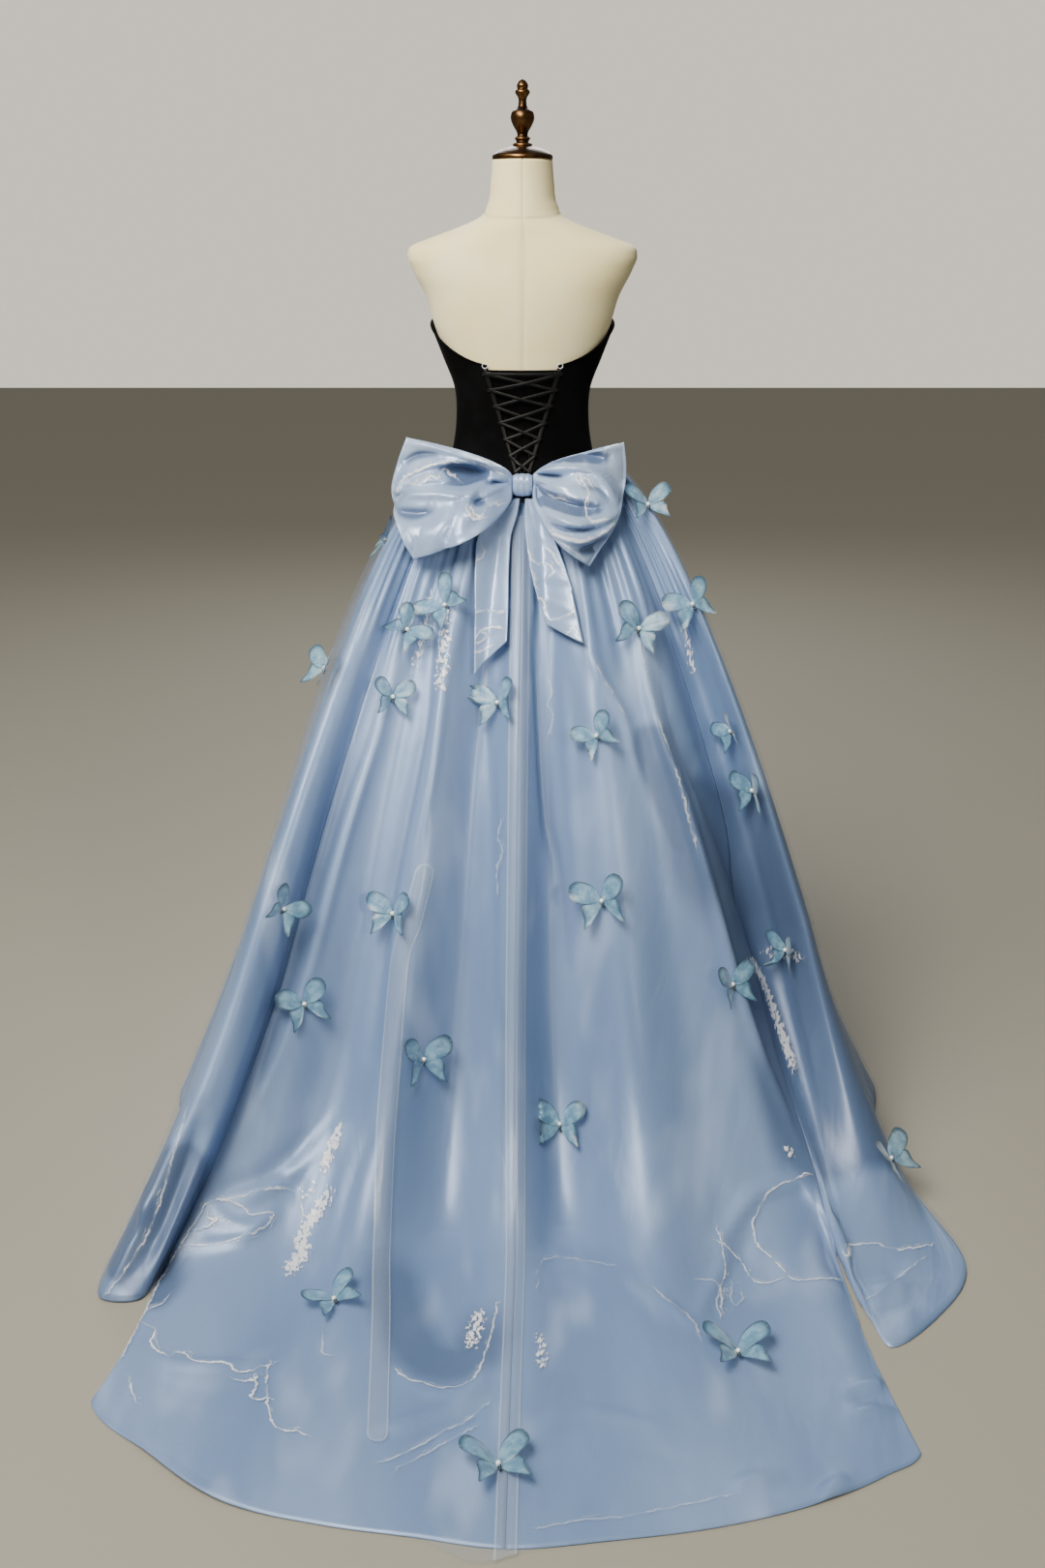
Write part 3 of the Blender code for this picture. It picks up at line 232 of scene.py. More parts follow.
# cotton-backed velvet, cut pile: near black face on, a soft grey bloom where it turns away
velvet = blackMaterial(
    "velvetCutPileBlack",
    {
        "Roughness": 0.95,
        "Sheen Weight": 0.12,
        "Sheen Roughness": 0.3,
        "Sheen Tint": "6A6E78",
        "Specular IOR Level": 0.08,
    },
    (0.4, 0.7, "030304", "09090B"),
    {"Scale": 18.0, "Detail": 3.0},
    {"Scale": 900.0, "Detail": 1.0},
    {"Strength": 0.4, "Distance": 0.0006},
)
# black satin ribbon, woven: a dull silver line of light along its length
ribbon = blackMaterial(
    "ribbonWovenSatinBlack",
    {"Roughness": 0.46, "Sheen Weight": 0.04, "Sheen Roughness": 0.4, "Specular IOR Level": 0.3},
    (0.4, 0.65, "050506", "0B0C0E"),
    {"Scale": 60.0, "Detail": 2.0},
    {"Scale": 1400.0},
    {"Strength": 0.25, "Distance": 0.0004},
)


def jerseyMaterial():
    # cotton jersey over padding, knitted and stretched: chalky cream, faint ribs, no gloss
    made, add = newMaterial("jerseyKnittedCream")
    where = add("TexCoord", output="Object")
    seam = add("Attribute", output="Fac", attribute_name="seam")
    soft = add("TexNoise", {"Vector": where, "Scale": 7.0, "Detail": 3.0})
    worn = add("MapRange", (soft, 0.35, 0.7), **smooth)
    seam = add("Math", (seam, 0.35), **times)
    colour = paintOver(add, "F7EAB2", (worn, "FFF7D0"), (seam, "B9AF8A"))
    # wales of the knit are 1 mm apart, drawn at 1.6 mm
    knit = {"Vector": where, "Scale": 98.0, "Distortion": 2.0, "Detail": 2.0}
    wales = add("TexWave", knit, 1, bands_direction="X")
    bump = add("Bump", {"Strength": 0.12, "Distance": 0.0006, "Height": wales})
    look = {"Roughness": 0.88, "Sheen Weight": 0.2, "Sheen Roughness": 0.6, "Specular IOR Level": 0.2}
    return setShader(made, {**look, "Base Color": colour, "Normal": bump})


jersey = jerseyMaterial()


def bronzeMaterial():
    # turned brass, chemically aged: brown in the hollows, rubbed gold on the beads of the turning
    made, add = newMaterial("brassTurnedAged")
    where = add("TexCoord", output="Object")
    aged = {"Vector": where, "Scale": 55.0, "Detail": 5.0, "Roughness": 0.6}
    patina = add("TexNoise", aged)
    brown = add("MapRange", (patina, 0.4, 0.64), **smooth)
    rubbed = add("NewGeometry", output="Pointiness")
    rubbed = add("MapRange", (rubbed, 0.5, 0.56), **smooth)
    rubbed = add("Math", (rubbed, 0.7), **times)
    colour = paintOver(add, "2E2016", (brown, "6B4C2C"), (rubbed, "A98150"))
    rough = add("MapRange", (patina, 0.3, 0.7, 0.42, 0.24))
    grain = add("TexNoise", {"Vector": where, "Scale": 420.0, "Detail": 2.0})
    bump = add("Bump", {"Strength": 0.15, "Distance": 0.0005, "Height": grain})
    return setShader(made, {"Metallic": 0.95, "Base Color": colour, "Roughness": rough, "Normal": bump})


bronze = bronzeMaterial()

# powder-coated steel, baked: satin black-brown with a fine orange peel
steel = blackMaterial(
    "steelPowderCoated",
    {"Roughness": 0.45, "Specular IOR Level": 0.5},
    (0.45, 0.75, "252423", "3A3733"),
    {"Scale": 12.0, "Detail": 4.0},
    {"Scale": 500.0},
    {"Strength": 0.2, "Distance": 0.0004},
)


def wingMaterial():
    # organza, dyed and heat-cut: thin teal wings with a darker burnt edge, fine veins and glitter, some of
    # its specks painted near white as sparkle
    made, add = newMaterial("organzaDyedHeatCut")
    uv = add("UVMap", uv_map="cloth")
    around, outward, _ = add("SeparateXYZ", (uv,), None).outputs
    where = add("TexCoord", output="Object")
    mottle = add("TexNoise", {"Vector": where, "Scale": 85.0, "Detail": 2.0})
    ragged = add("Math", (outward, 0.08), **minus)
    ragged = add("Math", (mottle, 0.16, ragged), **timesPlus)
    edge = add("MapRange", (ragged, 0.76, 0.97), **smooth)
    spoke = add("Math", (around, 7.0), **times)
    spoke = add("Math", (spoke,), operation="FRACT")
    spoke = add("Math", (spoke, 0.5), **minus)
    spoke = add("Math", (spoke,), **magnitude)
    vein = add("MapRange", (spoke, 0.03, 0.09, 1.0, 0.0), **smooth)
    fading = add("MapRange", (outward, 0.1, 0.9, 1.0, 0.3), **smooth)
    veins = add("Math", (vein, fading), **times)
    speckled = {"Vector": where, "Scale": 420.0, "Randomness": 1.0}
    specks = add("TexVoronoi", speckled, "Distance", feature="F1")
    specks = add("MapRange", (specks, 0.14, 0.2, 1.0, 0.0), **smooth)
    # painted highlight: the specks a noise picks are painted near white as sparkle
    paintedSparkle = add("TexNoise", {"Vector": where, "Scale": 160.0})
    paintedSparkle = add("MapRange", (paintedSparkle, 0.52, 0.58), **smooth)
    colour = paintOver(
        add,
        "5C8CAC",
        (add("MapRange", (mottle, 0.35, 0.7), **smooth), "86B4CD"),
        (add("Math", (veins, 0.45), **times), "3F6C88"),
        (add("Math", (edge, 0.9), **times), "223E54"),
        (add("Math", (specks, paintedSparkle), **times), "EAF6FF"),
    )
    alpha = add("Math", (veins, 0.15, 0.72), **timesPlus)
    alpha = add("Math", (edge, 0.2, alpha), **timesPlus)
    alpha = add("Math", (alpha, 1.0), **least)
    bump = add("Bump", {"Strength": 0.4, "Distance": 0.001, "Height": veins})
    look = {"Roughness": 0.35, "Sheen Weight": 0.4, "Sheen Roughness": 0.4, "Specular IOR Level": 0.6}
    return setShader(made, {**look, "Base Color": colour, "Alpha": alpha, "Normal": bump})


wing = wingMaterial()
# lacquered glass beads: one bright point of light each
pearl, jet = (
    setShader(newMaterial(name)[0], {"Base Color": tone, "Coat Weight": 0.6, **gloss})
    for name, tone, gloss in (
        ("beadGlassPearl", "F2F4F6", {"Roughness": 0.12, "Specular IOR Level": 0.7}),
        ("beadGlassJet", "1B2732", {"Roughness": 0.08, "Specular IOR Level": 0.8}),
    )
)
print("materials made")


def newObject(name, data):
    made = bpy.data.objects.new(name, data)
    bpy.context.scene.collection.objects.link(made)
    return made


def settle(piece, replaces=()):
    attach(piece, "root")
    if replaces:
        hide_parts(*replaces)
    return piece


def makePiece(name, points, faces, material, replaces=(), uv=None, values=None):
    # a mesh at the origin that rides on the frame, with its map and its numbers for the material
    mesh = bpy.data.meshes.new(name)
    places = np.asarray(points, float).reshape(-1, 3).tolist()
    mesh.from_pydata(places, [], faces.tolist() if isinstance(faces, np.ndarray) else faces)
    mesh.materials.append(material)
    mesh.shade_smooth()
    corners = np.zeros(len(mesh.loops), np.int32)
    mesh.loops.foreach_get("vertex_index", corners)
    if uv is not None:
        layer = mesh.uv_layers.new(name="cloth")
        layer.data.foreach_set("uv", np.asarray(uv, np.float32).reshape(-1, 2)[corners].ravel())
    for key, numbers in (values or {}).items():
        made = mesh.attributes.new(key, "FLOAT", "POINT")
        made.data.foreach_set("value", np.asarray(numbers, np.float32).ravel())
    return settle(newObject(name, mesh), replaces)


def solidify(piece, thickness):
    # the wall grows inwards from the outer face
    wall = piece.modifiers.new("wall", "SOLIDIFY")
    wall.thickness, wall.offset = thickness, -1.0


def gridFaces(rows, columns, closed=False, keep=None):
    # quads of a grid, rows running down and columns to +X as seen from behind; faces point out
    across = np.arange(columns if closed else columns - 1)
    row, column = np.meshgrid(np.arange(rows - 1), across, indexing="ij")
    a, right = row * columns + column, row * columns + (column + 1) % columns
    faces = np.stack([a, a + columns, right + columns, right], axis=-1)
    return faces[keep] if keep is not None else faces.reshape(-1, 4)


def closedFaces(rows, columns):
    # the same for rings, closed by fans to two more points: the middle of the first and of the last
    faces = gridFaces(rows, columns, closed=True).tolist()
    middle, last = rows * columns, (rows - 1) * columns
    for i in range(columns):
        j = (i + 1) % columns
        faces += [(i, j, middle), (last + j, last + i, middle + 1)]
    return faces


def bell(distance, width):
    # 1 at no distance, falling off softly within a width or two
    return np.exp(-((distance / width) ** 2))


def unit(ways):
    return ways / np.maximum(np.linalg.norm(ways, axis=-1, keepdims=True), 1e-9)


def lengthsAlong(grid, axis):
    # metres from the first row (axis 0) or column (axis 1) of a grid
    steps = np.linalg.norm(np.diff(grid, axis=axis), axis=2)
    none = np.zeros_like(np.take(steps, [0], axis=axis))
    return np.concatenate([none, np.cumsum(steps, axis=axis)], axis=axis)


def smoothTable(rows, at):
    # the columns of a table after its first, read at any value of its first, on a smooth curve
    table = np.array(rows, float)
    keys, values = table[:, 0], table[:, 1:]
    slopes = np.gradient(values, keys, axis=0)
    at = np.clip(np.atleast_1d(at), keys[0], keys[-1])
    low = np.clip(np.searchsorted(keys, at) - 1, 0, len(keys) - 2)
    span = (keys[low + 1] - keys[low])[:, None]
    t = (at - keys[low])[:, None] / span
    made = (2 * t**3 - 3 * t**2 + 1) * values[low] + (t**3 - 2 * t**2 + t) * span * slopes[low]
    return made + (3 * t**2 - 2 * t**3) * values[low + 1] + (t**3 - t**2) * span * slopes[low + 1]


dressForm = {
    "sections": (  # z, half width, depth in front, depth behind, how rounded
        (0.8, 0.148, 0.094, 0.104, 0.95),
        (0.87, 0.161, 0.1, 0.116, 0.95),
        (0.95, 0.16, 0.098, 0.113, 0.95),
        (1.03, 0.133, 0.089, 0.092, 0.97),
        (1.09, 0.113, 0.083, 0.079, 1.0),
        (1.14, 0.1062, 0.08, 0.073, 1.0),
        (1.19, 0.1085, 0.084, 0.075, 1.0),
        (1.24, 0.127, 0.094, 0.082, 0.98),
        (1.29, 0.146, 0.102, 0.089, 0.95),
        (1.34, 0.161, 0.097, 0.092, 0.9),
        (1.38, 0.1815, 0.084, 0.087, 0.84),
        (1.403, 0.189, 0.072, 0.08, 0.8),
        (1.418, 0.182, 0.064, 0.075, 0.8),
        (1.431, 0.148, 0.058, 0.071, 0.85),
        (1.446, 0.106, 0.053, 0.068, 0.92),
        (1.462, 0.07, 0.05, 0.064, 1.0),
        (1.482, 0.057, 0.049, 0.06, 1.0),
        (1.515, 0.0515, 0.047, 0.055, 1.0),
        (1.55, 0.0485, 0.046, 0.052, 1.0),
    ),
    "bustZ": 1.262,
    "bustHeight": 0.052,
    "bustTurn": 0.5,
    "bustSpread": 0.34,
    "bustDepth": 0.028,
    "collarZ": 1.47,  # the seam round the foot of the neck, and how much it dips at the back
    "collarDip": 0.01,
    "seamDepth": 0.0012,
    "seamWidth": 0.0022,
    "turns": 220,
    "levels": 190,
    "collarLevels": np.linspace(1.44, 1.49, 24),  # finer round the seam
}


def formPoints(turn, z, out=0.0):
    turn, z = np.broadcast_arrays(np.asarray(turn, float), np.asarray(z, float))
    halfWidth, front, back, corner = smoothTable(dressForm["sections"], z.ravel()).T.reshape(4, *z.shape)
    sine, cosine = np.sin(turn), np.cos(turn)
    x = (halfWidth + out) * np.sign(sine) * np.abs(sine) ** corner
    depth = np.where(cosine > 0, back, front) + out
    y = -depth * np.sign(cosine) * np.abs(cosine) ** corner
    fromBust = math.pi - np.arccos(np.clip(cosine, -1, 1)) - dressForm["bustTurn"]
    rise = bell(z - dressForm["bustZ"], dressForm["bustHeight"]) * bell(fromBust, dressForm["bustSpread"])
    return np.stack([x, y + dressForm["bustDepth"] * rise, z], axis=-1)


def makeForm():
    turns = np.linspace(0, 2 * math.pi, dressForm["turns"], endpoint=False)
    low, high = dressForm["sections"][0][0], dressForm["sections"][-1][0]
    heights = np.concatenate([np.linspace(low, high, dressForm["levels"]), dressForm["collarLevels"]])
    turn, z = np.meshgrid(turns, np.sort(heights)[::-1])
    grid = formPoints(turn, z)
    # a pressed seam down the centre back and front, and one round the foot of the neck
    collar = dressForm["collarZ"] - dressForm["collarDip"] * np.cos(turn)
    width = dressForm["seamWidth"]
    seam = np.maximum(bell(grid[..., 0], width), bell(z - collar, width))
    grid -= unit(grid * (1.0, 1.0, 0.0)) * (seam * dressForm["seamDepth"])[..., None]
    points = np.concatenate([grid.reshape(-1, 3), [[0, 0, high], [0, 0, low]]])
    seams = {"seam": np.concatenate([seam.ravel(), [0, 0]])}
    makePiece("formBody", points, closedFaces(*turn.shape), jersey, ["form_torso"], values=seams)


makeForm()

turning = {
    "capTop": 1.55,
    "cap": (
        (0.0003, 0.0), (0.004, 0.0005), (0.0075, -0.0008), (0.01, -0.004), (0.0135, -0.01),
        (0.016, -0.016), (0.0185, -0.024), (0.0195, -0.03),
    ),
    "finial": (  # z, radius
        (1.57, 0.015), (1.5712, 0.0156), (1.5738, 0.0154), (1.575, 0.014), (1.5775, 0.01),
        (1.5795, 0.0112), (1.582, 0.0128), (1.5842, 0.0112), (1.586, 0.009), (1.5895, 0.0088),
        (1.5935, 0.0105), (1.5985, 0.0136), (1.604, 0.0165), (1.6095, 0.0186), (1.615, 0.019),
        (1.6195, 0.018), (1.623, 0.016), (1.6262, 0.0112), (1.629, 0.008), (1.6345, 0.0066),
        (1.64, 0.0065), (1.6438, 0.0078), (1.6475, 0.0105), (1.65, 0.0118), (1.652, 0.0118),
        (1.6542, 0.0106), (1.656, 0.0085), (1.6585, 0.009), (1.661, 0.0092), (1.664, 0.008),
        (1.667, 0.006), (1.669, 0.0038), (1.67, 0.0015),
    ),
    "sides": 72,
    "finialRings": 120,
    "capSides": 96,
    "capRings": 26,
}


def startTree(name, inputs):
    # a tree with its named inputs; returns it, what adds its nodes and the inputs' sockets
    tree = bpy.data.node_groups.new(name, "GeometryNodeTree")
    for word, kind in inputs.items():
        tree.interface.new_socket(word, in_out="INPUT", socket_type="NodeSocket" + kind)
    tree.interface.new_socket("Geometry", in_out="OUTPUT", socket_type="NodeSocketGeometry")
    add = partial(addNode, tree)
    return tree, add, add("NodeGroupInput", output=None).outputs


def endTree(tree, geometry, finish):
    # made real, smooth and of one material
    add = partial(addNode, tree)
    made = add("GeometryNodeRealizeInstances", {"Geometry": geometry})
    made = add("GeometryNodeSetShadeSmooth", {"Geometry": made})
    made = add("GeometryNodeSetMaterial", {"Geometry": made, "Material": finish})
    add("NodeGroupOutput", {"Geometry": made}, None)
    return tree


def turnedTree():
    # the rule of turned work: a half outline carried round the Z axis, closed at both ends
    tree, add, given = startTree("turnedWork", {"Geometry": "Geometry", "Sides": "Int", "Finish": "Material"})
    outline = add("GeometryNodeMeshToCurve", {"Mesh": given["Geometry"]})
    circle = add("GeometryNodeCurvePrimitiveCircle", {"Resolution": given["Sides"], "Radius": 1.0})
    # the outline's own x is the radius: each ring is the unit circle scaled by it
    place = add("GeometryNodeInputPosition")
    radius, _, height = add("SeparateXYZ", (place,), None).outputs
    sized = add("GeometryNodeSetCurveRadius", {"Curve": outline, "Radius": radius})
    upright = add("CombineXYZ", {"Z": height})
    straight = add("GeometryNodeSetPosition", {"Geometry": sized, "Position": upright})
    rings = {"Curve": straight, "Profile Curve": circle, "Fill Caps": True}
    rings["Scale"] = add("GeometryNodeInputRadius")
    return endTree(tree, add("GeometryNodeCurveToMesh", rings), given["Finish"])


def runTree(name, mesh, tree, inputs, replaces=()):
    # the result of a tree on a mesh, as a plain mesh with no modifier
    source = newObject(name + "Source", mesh)
    modifier = source.modifiers.new("made", "NODES")
    modifier.node_group = tree
    for item in tree.interface.items_tree:
        if item.item_type == "SOCKET" and item.in_out == "INPUT" and item.name in inputs:
            modifier[item.identifier] = inputs[item.name]
    graph = bpy.context.evaluated_depsgraph_get()
    plain = bpy.data.meshes.new_from_object(source.evaluated_get(graph))
    plain.name = name
    bpy.data.objects.remove(source)
    return settle(newObject(name, plain), replaces)


def linesMesh(name, lines, closed=False):
    # a mesh of edges only, for a tree to follow
    places, edges = [], []
    for line in lines:
        first = len(places)
        places += [tuple(map(float, place)) for place in line]
        edges += [(first + i, first + i + 1) for i in range(len(line) - 1)]
        if closed:
            edges.append((len(places) - 1, first))
    mesh = bpy.data.meshes.new(name)
    mesh.from_pydata(places, edges, [])
    return mesh


def makeTurning():
    # a smooth line through the outline's own points
    outline = turning["finial"]
    heights = np.linspace(outline[0][0], outline[-1][0], turning["finialRings"])
    places = [(r, 0.0, z) for z, r in zip(heights, smoothTable(outline, heights)[:, 0])]
    given = {"Sides": turning["sides"], "Finish": bronze}
    runTree("finialTurned", linesMesh("finialOutline", [places]), turnedTree(), given, ["finial"])
    top, profile = turning["capTop"], turning["cap"]
    halfWidth, front, back, _ = smoothTable(dressForm["sections"], top)[0]
    turns = np.linspace(0, 2 * math.pi, turning["capSides"], endpoint=False)
    rise = np.linspace(profile[0][0], profile[-1][0], turning["capRings"])[::-1]
    grow = smoothTable(profile, rise)
    middle = (front - back) / 2
    y = middle - ((front + back) / 2 + grow) * np.cos(turns)
    z = top + rise[:, None] + 0 * turns
    points = np.stack([(halfWidth + grow) * np.sin(turns), y, z], axis=-1).reshape(-1, 3)
    points = np.concatenate([points, [[0, middle, z[0, 0]], [0, middle, z[-1, 0]]]])
    makePiece("neckCapSpun", points, closedFaces(*y.shape), bronze, ["neck_cap"])


makeTurning()
for name in ("stand_base", "stand_pole"):
    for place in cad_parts[name].material_slots:
        place.material = steel
print("dress form and its turned work made")

skirt = {
    "sideSeamZ": 1.085,
    "backSeamZ": 1.015,
    "seamDipTurn": math.radians(62),
    "waistOut": 0.0063,
    "kneeZ": 0.38,
    "springPower": 0.675,
    "springSkew": 0.045,
    "floorLift": 0.002,
    # folds that reach the floor before their end and lie on it from there: share of the way below the knee
    "landings": {"valleyRight0": 0.84, "lobeRightInner": 0.78, "lobeRightFoot": 0.78, "lobeRightOuter": 0.82},
    "landingRoundness": 0.1,
    "trainWave": 0.02,
    "trainSweep": 0.07,
    "trainSideTuck": 0.01,
    "rowsToKnee": 100,
    "rowsBelowKnee": 52,
    "rowsOfTrain": 68,
    "columnsPerBackFold": 18,
    "columnsPerFrontFold": 10,
    "satinWall": 0.0012,
    "seamGap": 0.0003,
    "folds": (  # name, turn, knee x and y, floor x and y, pleat, hem x and y where it has a train
        ("centreBack", 0, -0.01, -0.505, -0.01, -0.72, 0.005, -0.02, -1.33),
        ("valleyBack1", 11, 0.045, -0.445, 0.06, -0.64, -0.005, 0.1, -1.318),
        ("ridgeBack1", 23, 0.15, -0.505, 0.2, -0.745, 0.006, 0.235, -1.296),
        ("valleyBack2", 34, 0.235, -0.48, 0.32, -0.7, -0.004, 0.365, -1.256),
        ("ridgeBack2", 44, 0.32, -0.46, 0.445, -0.665, 0.007, 0.45, -1.212),
        ("trainEdgeRight", 54, 0.374, -0.35, 0.468, -0.76, -0.008, 0.5, -1.175),
        ("valleyRight0", 61, 0.404, -0.335, 0.492, -0.93, -0.005),
        ("lobeRightInner", 68, 0.426, -0.37, 0.505, -0.972, 0.003),
        ("lobeRightFoot", 75, 0.456, -0.43, 0.585, -0.908, 0.006),
        ("lobeRightOuter", 82, 0.468, -0.41, 0.655, -0.79, 0.003),
        ("valleyRight1", 92, 0.44, -0.22, 0.59, -0.47, -0.007),
        ("ridgeRight1", 102, 0.46, -0.11, 0.625, -0.24, 0.006),
        ("valleyRight2", 112, 0.415, -0.01, 0.55, -0.05, -0.006),
        ("ridgeRight2", 122, 0.435, 0.1, 0.59, 0.11, 0.006),
        ("valleyRight3", 131, 0.365, 0.165, 0.49, 0.2, -0.006),
        ("ridgeRight3", 140, 0.345, 0.265, 0.47, 0.345, 0.006),
        ("valleyRight4", 149, 0.265, 0.275, 0.355, 0.355, -0.006),
        ("ridgeRight4", 159, 0.2, 0.355, 0.27, 0.47, 0.006),
        ("valleyRight5", 170, 0.105, 0.32, 0.14, 0.42, -0.005),
        ("centreFront", 180, 0.0, 0.365, 0.0, 0.485, 0.005),
        ("valleyLeft5", 190, -0.11, 0.322, -0.15, 0.425, -0.005),
        ("ridgeLeft4", 200, -0.205, 0.35, -0.28, 0.465, 0.006),
        ("valleyLeft4", 210, -0.262, 0.27, -0.345, 0.35, -0.006),
        ("ridgeLeft3", 219, -0.35, 0.258, -0.475, 0.335, 0.006),
        ("valleyLeft3", 229, -0.368, 0.15, -0.49, 0.18, -0.006),
        ("ridgeLeft2", 239, -0.437, 0.085, -0.588, 0.09, 0.006),
        ("valleyLeft2", 249, -0.418, -0.02, -0.548, -0.07, -0.006),
        ("ridgeLeft1", 259, -0.452, -0.125, -0.604, -0.26, 0.006),
        ("valleyLeft1", 269, -0.435, -0.23, -0.57, -0.48, -0.007),
        ("lobeLeftOuter", 279, -0.442, -0.54, -0.614, -0.79, 0.003),
        ("lobeLeftFoot", 287, -0.425, -0.59, -0.604, -0.866, 0.006),
        ("lobeLeftInner", 295, -0.388, -0.565, -0.547, -0.868, 0.003),
        ("trainEdgeLeft", 305, -0.36, -0.49, -0.532, -0.8, -0.008, -0.565, -1.08),
        ("ridgeBack4", 315, -0.322, -0.5, -0.42, -0.7, 0.006, -0.475, -1.172),
        ("valleyBack4", 326, -0.25, -0.472, -0.335, -0.67, -0.004, -0.37, -1.254),
        ("ridgeBack3", 337, -0.175, -0.515, -0.245, -0.725, 0.007, -0.24, -1.293),
        ("valleyBack3", 349, -0.09, -0.455, -0.12, -0.655, -0.005, -0.13, -1.312),
    ),
}
foldNames = [fold[0] for fold in skirt["folds"]]


def seamZ(turn):
    # height of the waist seam: level at the sides and front, a V at the centre back
    fromBack = np.arccos(np.cos(turn))
    dip = np.clip(1 - fromBack / skirt["seamDipTurn"], 0, 1) ** 1.2
    return skirt["sideSeamZ"] - (skirt["sideSeamZ"] - skirt["backSeamZ"]) * dip


toKnee = np.linspace(0, 1, skirt["rowsToKnee"] + 1) ** 1.5
belowKnee = np.linspace(0, 1, skirt["rowsBelowKnee"] + 1)[1:]
onTrain = np.linspace(0, 1, skirt["rowsOfTrain"] + 1)


def foldLine(fold):
    # points down one fold: it springs out over the petticoat, then runs down straight
    name, degrees, kneeX, kneeY, floorX, floorY, pleat = fold[:7]
    turn = math.radians(degrees)
    top = float(seamZ(turn))
    waist = formPoints(turn, top, skirt["waistOut"])[:2]
    knee, floor = np.array([kneeX, kneeY]), np.array([floorX, floorY])
    spring = skirt["springPower"] - skirt["springSkew"] * math.sin(turn)
    crest = pleat * np.sin(math.pi * toKnee[:, None] ** 0.45) ** 2 * (math.sin(turn), -math.cos(turn))
    plan = waist + (knee - waist) * toKnee[:, None] ** spring + crest
    upper = np.column_stack([plan, top + (skirt["kneeZ"] - top) * toKnee])
    slope = (knee - waist) * spring * skirt["kneeZ"] / (top - skirt["kneeZ"])
    plan = knee + slope * belowKnee[:, None] + (floor - knee - slope) * belowKnee[:, None] ** 2
    left = 1 - belowKnee
    if name in skirt["landings"]:
        top, left, end = (1 - np.array(share) / skirt["landings"][name] for share in (0.0, belowKnee, 1.0))
        top, left, end = (share + np.hypot(share, skirt["landingRoundness"]) for share in (top, left, end))
        left = (left - end) / (top - end)
    lower = np.column_stack([plan, skirt["floorLift"] + (skirt["kneeZ"] - skirt["floorLift"]) * left])
    return np.concatenate([upper, lower])


def curveThrough(points, counts):
    # points[row, fold] on closed centripetal curves, counts[i] columns from each fold
    made = []
    total = points.shape[1]
    for i, count in enumerate(counts):
        p = [points[:, (i + k) % total] for k in (-1, 0, 1, 2)]
        gaps = [np.linalg.norm((b - a)[:, :2], axis=1) for a, b in zip(p[:-1], p[1:])]
        steps = [np.maximum(gap, 1e-6) ** 0.5 for gap in gaps]
        t1, t2, t3 = (sum(steps[: k + 1])[:, None, None] for k in range(3))
        t = t1 + (t2 - t1) * (np.arange(count) / count)[None, :, None]
        p0, p1, p2, p3 = (point[:, None] for point in p)
        a1 = p0 + (p1 - p0) * t / t1
        a2 = p1 + (p2 - p1) * (t - t1) / (t2 - t1)
        a3 = p2 + (p3 - p2) * (t - t2) / (t3 - t2)
        b1 = a1 + (a2 - a1) * t / t2
        b2 = a2 + (a3 - a2) * (t - t1) / (t3 - t1)
        made.append(b1 + (b2 - b1) * (t - t1) / (t2 - t1))
    return np.concatenate(made, axis=1)


foldLines = np.array([foldLine(fold) for fold in skirt["folds"]]).transpose(1, 0, 2)
firstBack, lastBack = foldNames.index("valleyLeft2"), foldNames.index("valleyRight2")
counts = [
    skirt["columnsPerBackFold" if i >= firstBack or i < lastBack else "columnsPerFrontFold"]
    for i in range(len(foldNames))
]
starts = np.concatenate([[0], np.cumsum(counts)])
foldOfColumn = np.interp(np.arange(starts[-1]), starts, np.arange(len(starts)))
slopeGrid = curveThrough(foldLines, counts)
slopeRows, columnsInAll = slopeGrid.shape[:2]


def columnsBetween(first, last):
    start, end = starts[foldNames.index(first)], starts[foldNames.index(last)]
    if end <= start:
        end += columnsInAll
    return np.arange(start, end + 1) % columnsInAll


trainColumns = columnsBetween("trainEdgeLeft", "trainEdgeRight")
# how far across the train each column is, from -1 to 1, by about 60 mm steps between its folds
widths = np.linalg.norm(np.roll(foldLines[-1], -1, axis=0) - foldLines[-1], axis=1)
coarse = [min(4, max(2, round(float(width) / 0.06))) for width in widths]
trainFolds = [(foldNames.index("trainEdgeLeft") + k) % len(foldNames) for k in range(11)]
reach = np.concatenate([[0], np.cumsum([coarse[i] for i in trainFolds[:-1]])])
fromEdge = (foldOfColumn[trainColumns] - foldNames.index("trainEdgeLeft")) % len(foldNames)
across = np.interp(fromEdge, np.arange(11), reach) / reach[-1] * 2 - 1
inside = 1 - np.abs(across) ** 6


def trainGrid():
    hems = np.array([fold[7:] or fold[4:6] for fold in skirt["folds"]])
    hem = curveThrough(hems[None], counts)[0, trainColumns]
    ridges = np.array([[1.0 if fold[6] > 0 else 0.0, 0.0] for fold in skirt["folds"]])
    ridge = curveThrough(ridges[None], counts)[0, trainColumns, 0]
    floor = slopeGrid[-1, trainColumns, :2]
    tuck = np.sign(across) * skirt["trainSideTuck"] * np.abs(across) ** 8
    rows = []
    for along in onTrain:
        plan = floor + (hem - floor) * along
        plan[:, 1] -= skirt["trainSweep"] * (1 - along) ** 2 * inside
        plan[:, 0] -= tuck * math.sin(math.pi * along)
        height = skirt["floorLift"] + skirt["trainWave"] * ridge * inside * (1 - along) ** 1.2
        rows.append(np.column_stack([plan, height]))
    return np.array(rows)


def normalsOf(grid, closed=False):
    ahead = np.roll(grid, -1, axis=1) - grid
    if not closed:
        ahead[:, -1] = ahead[:, -2]
    ahead = unit(ahead)
    behind = np.roll(ahead, 1, axis=1)
    if not closed:
        behind[:, 0] = ahead[:, 0]
    return unit(np.cross(np.gradient(grid, axis=0), ahead + behind))


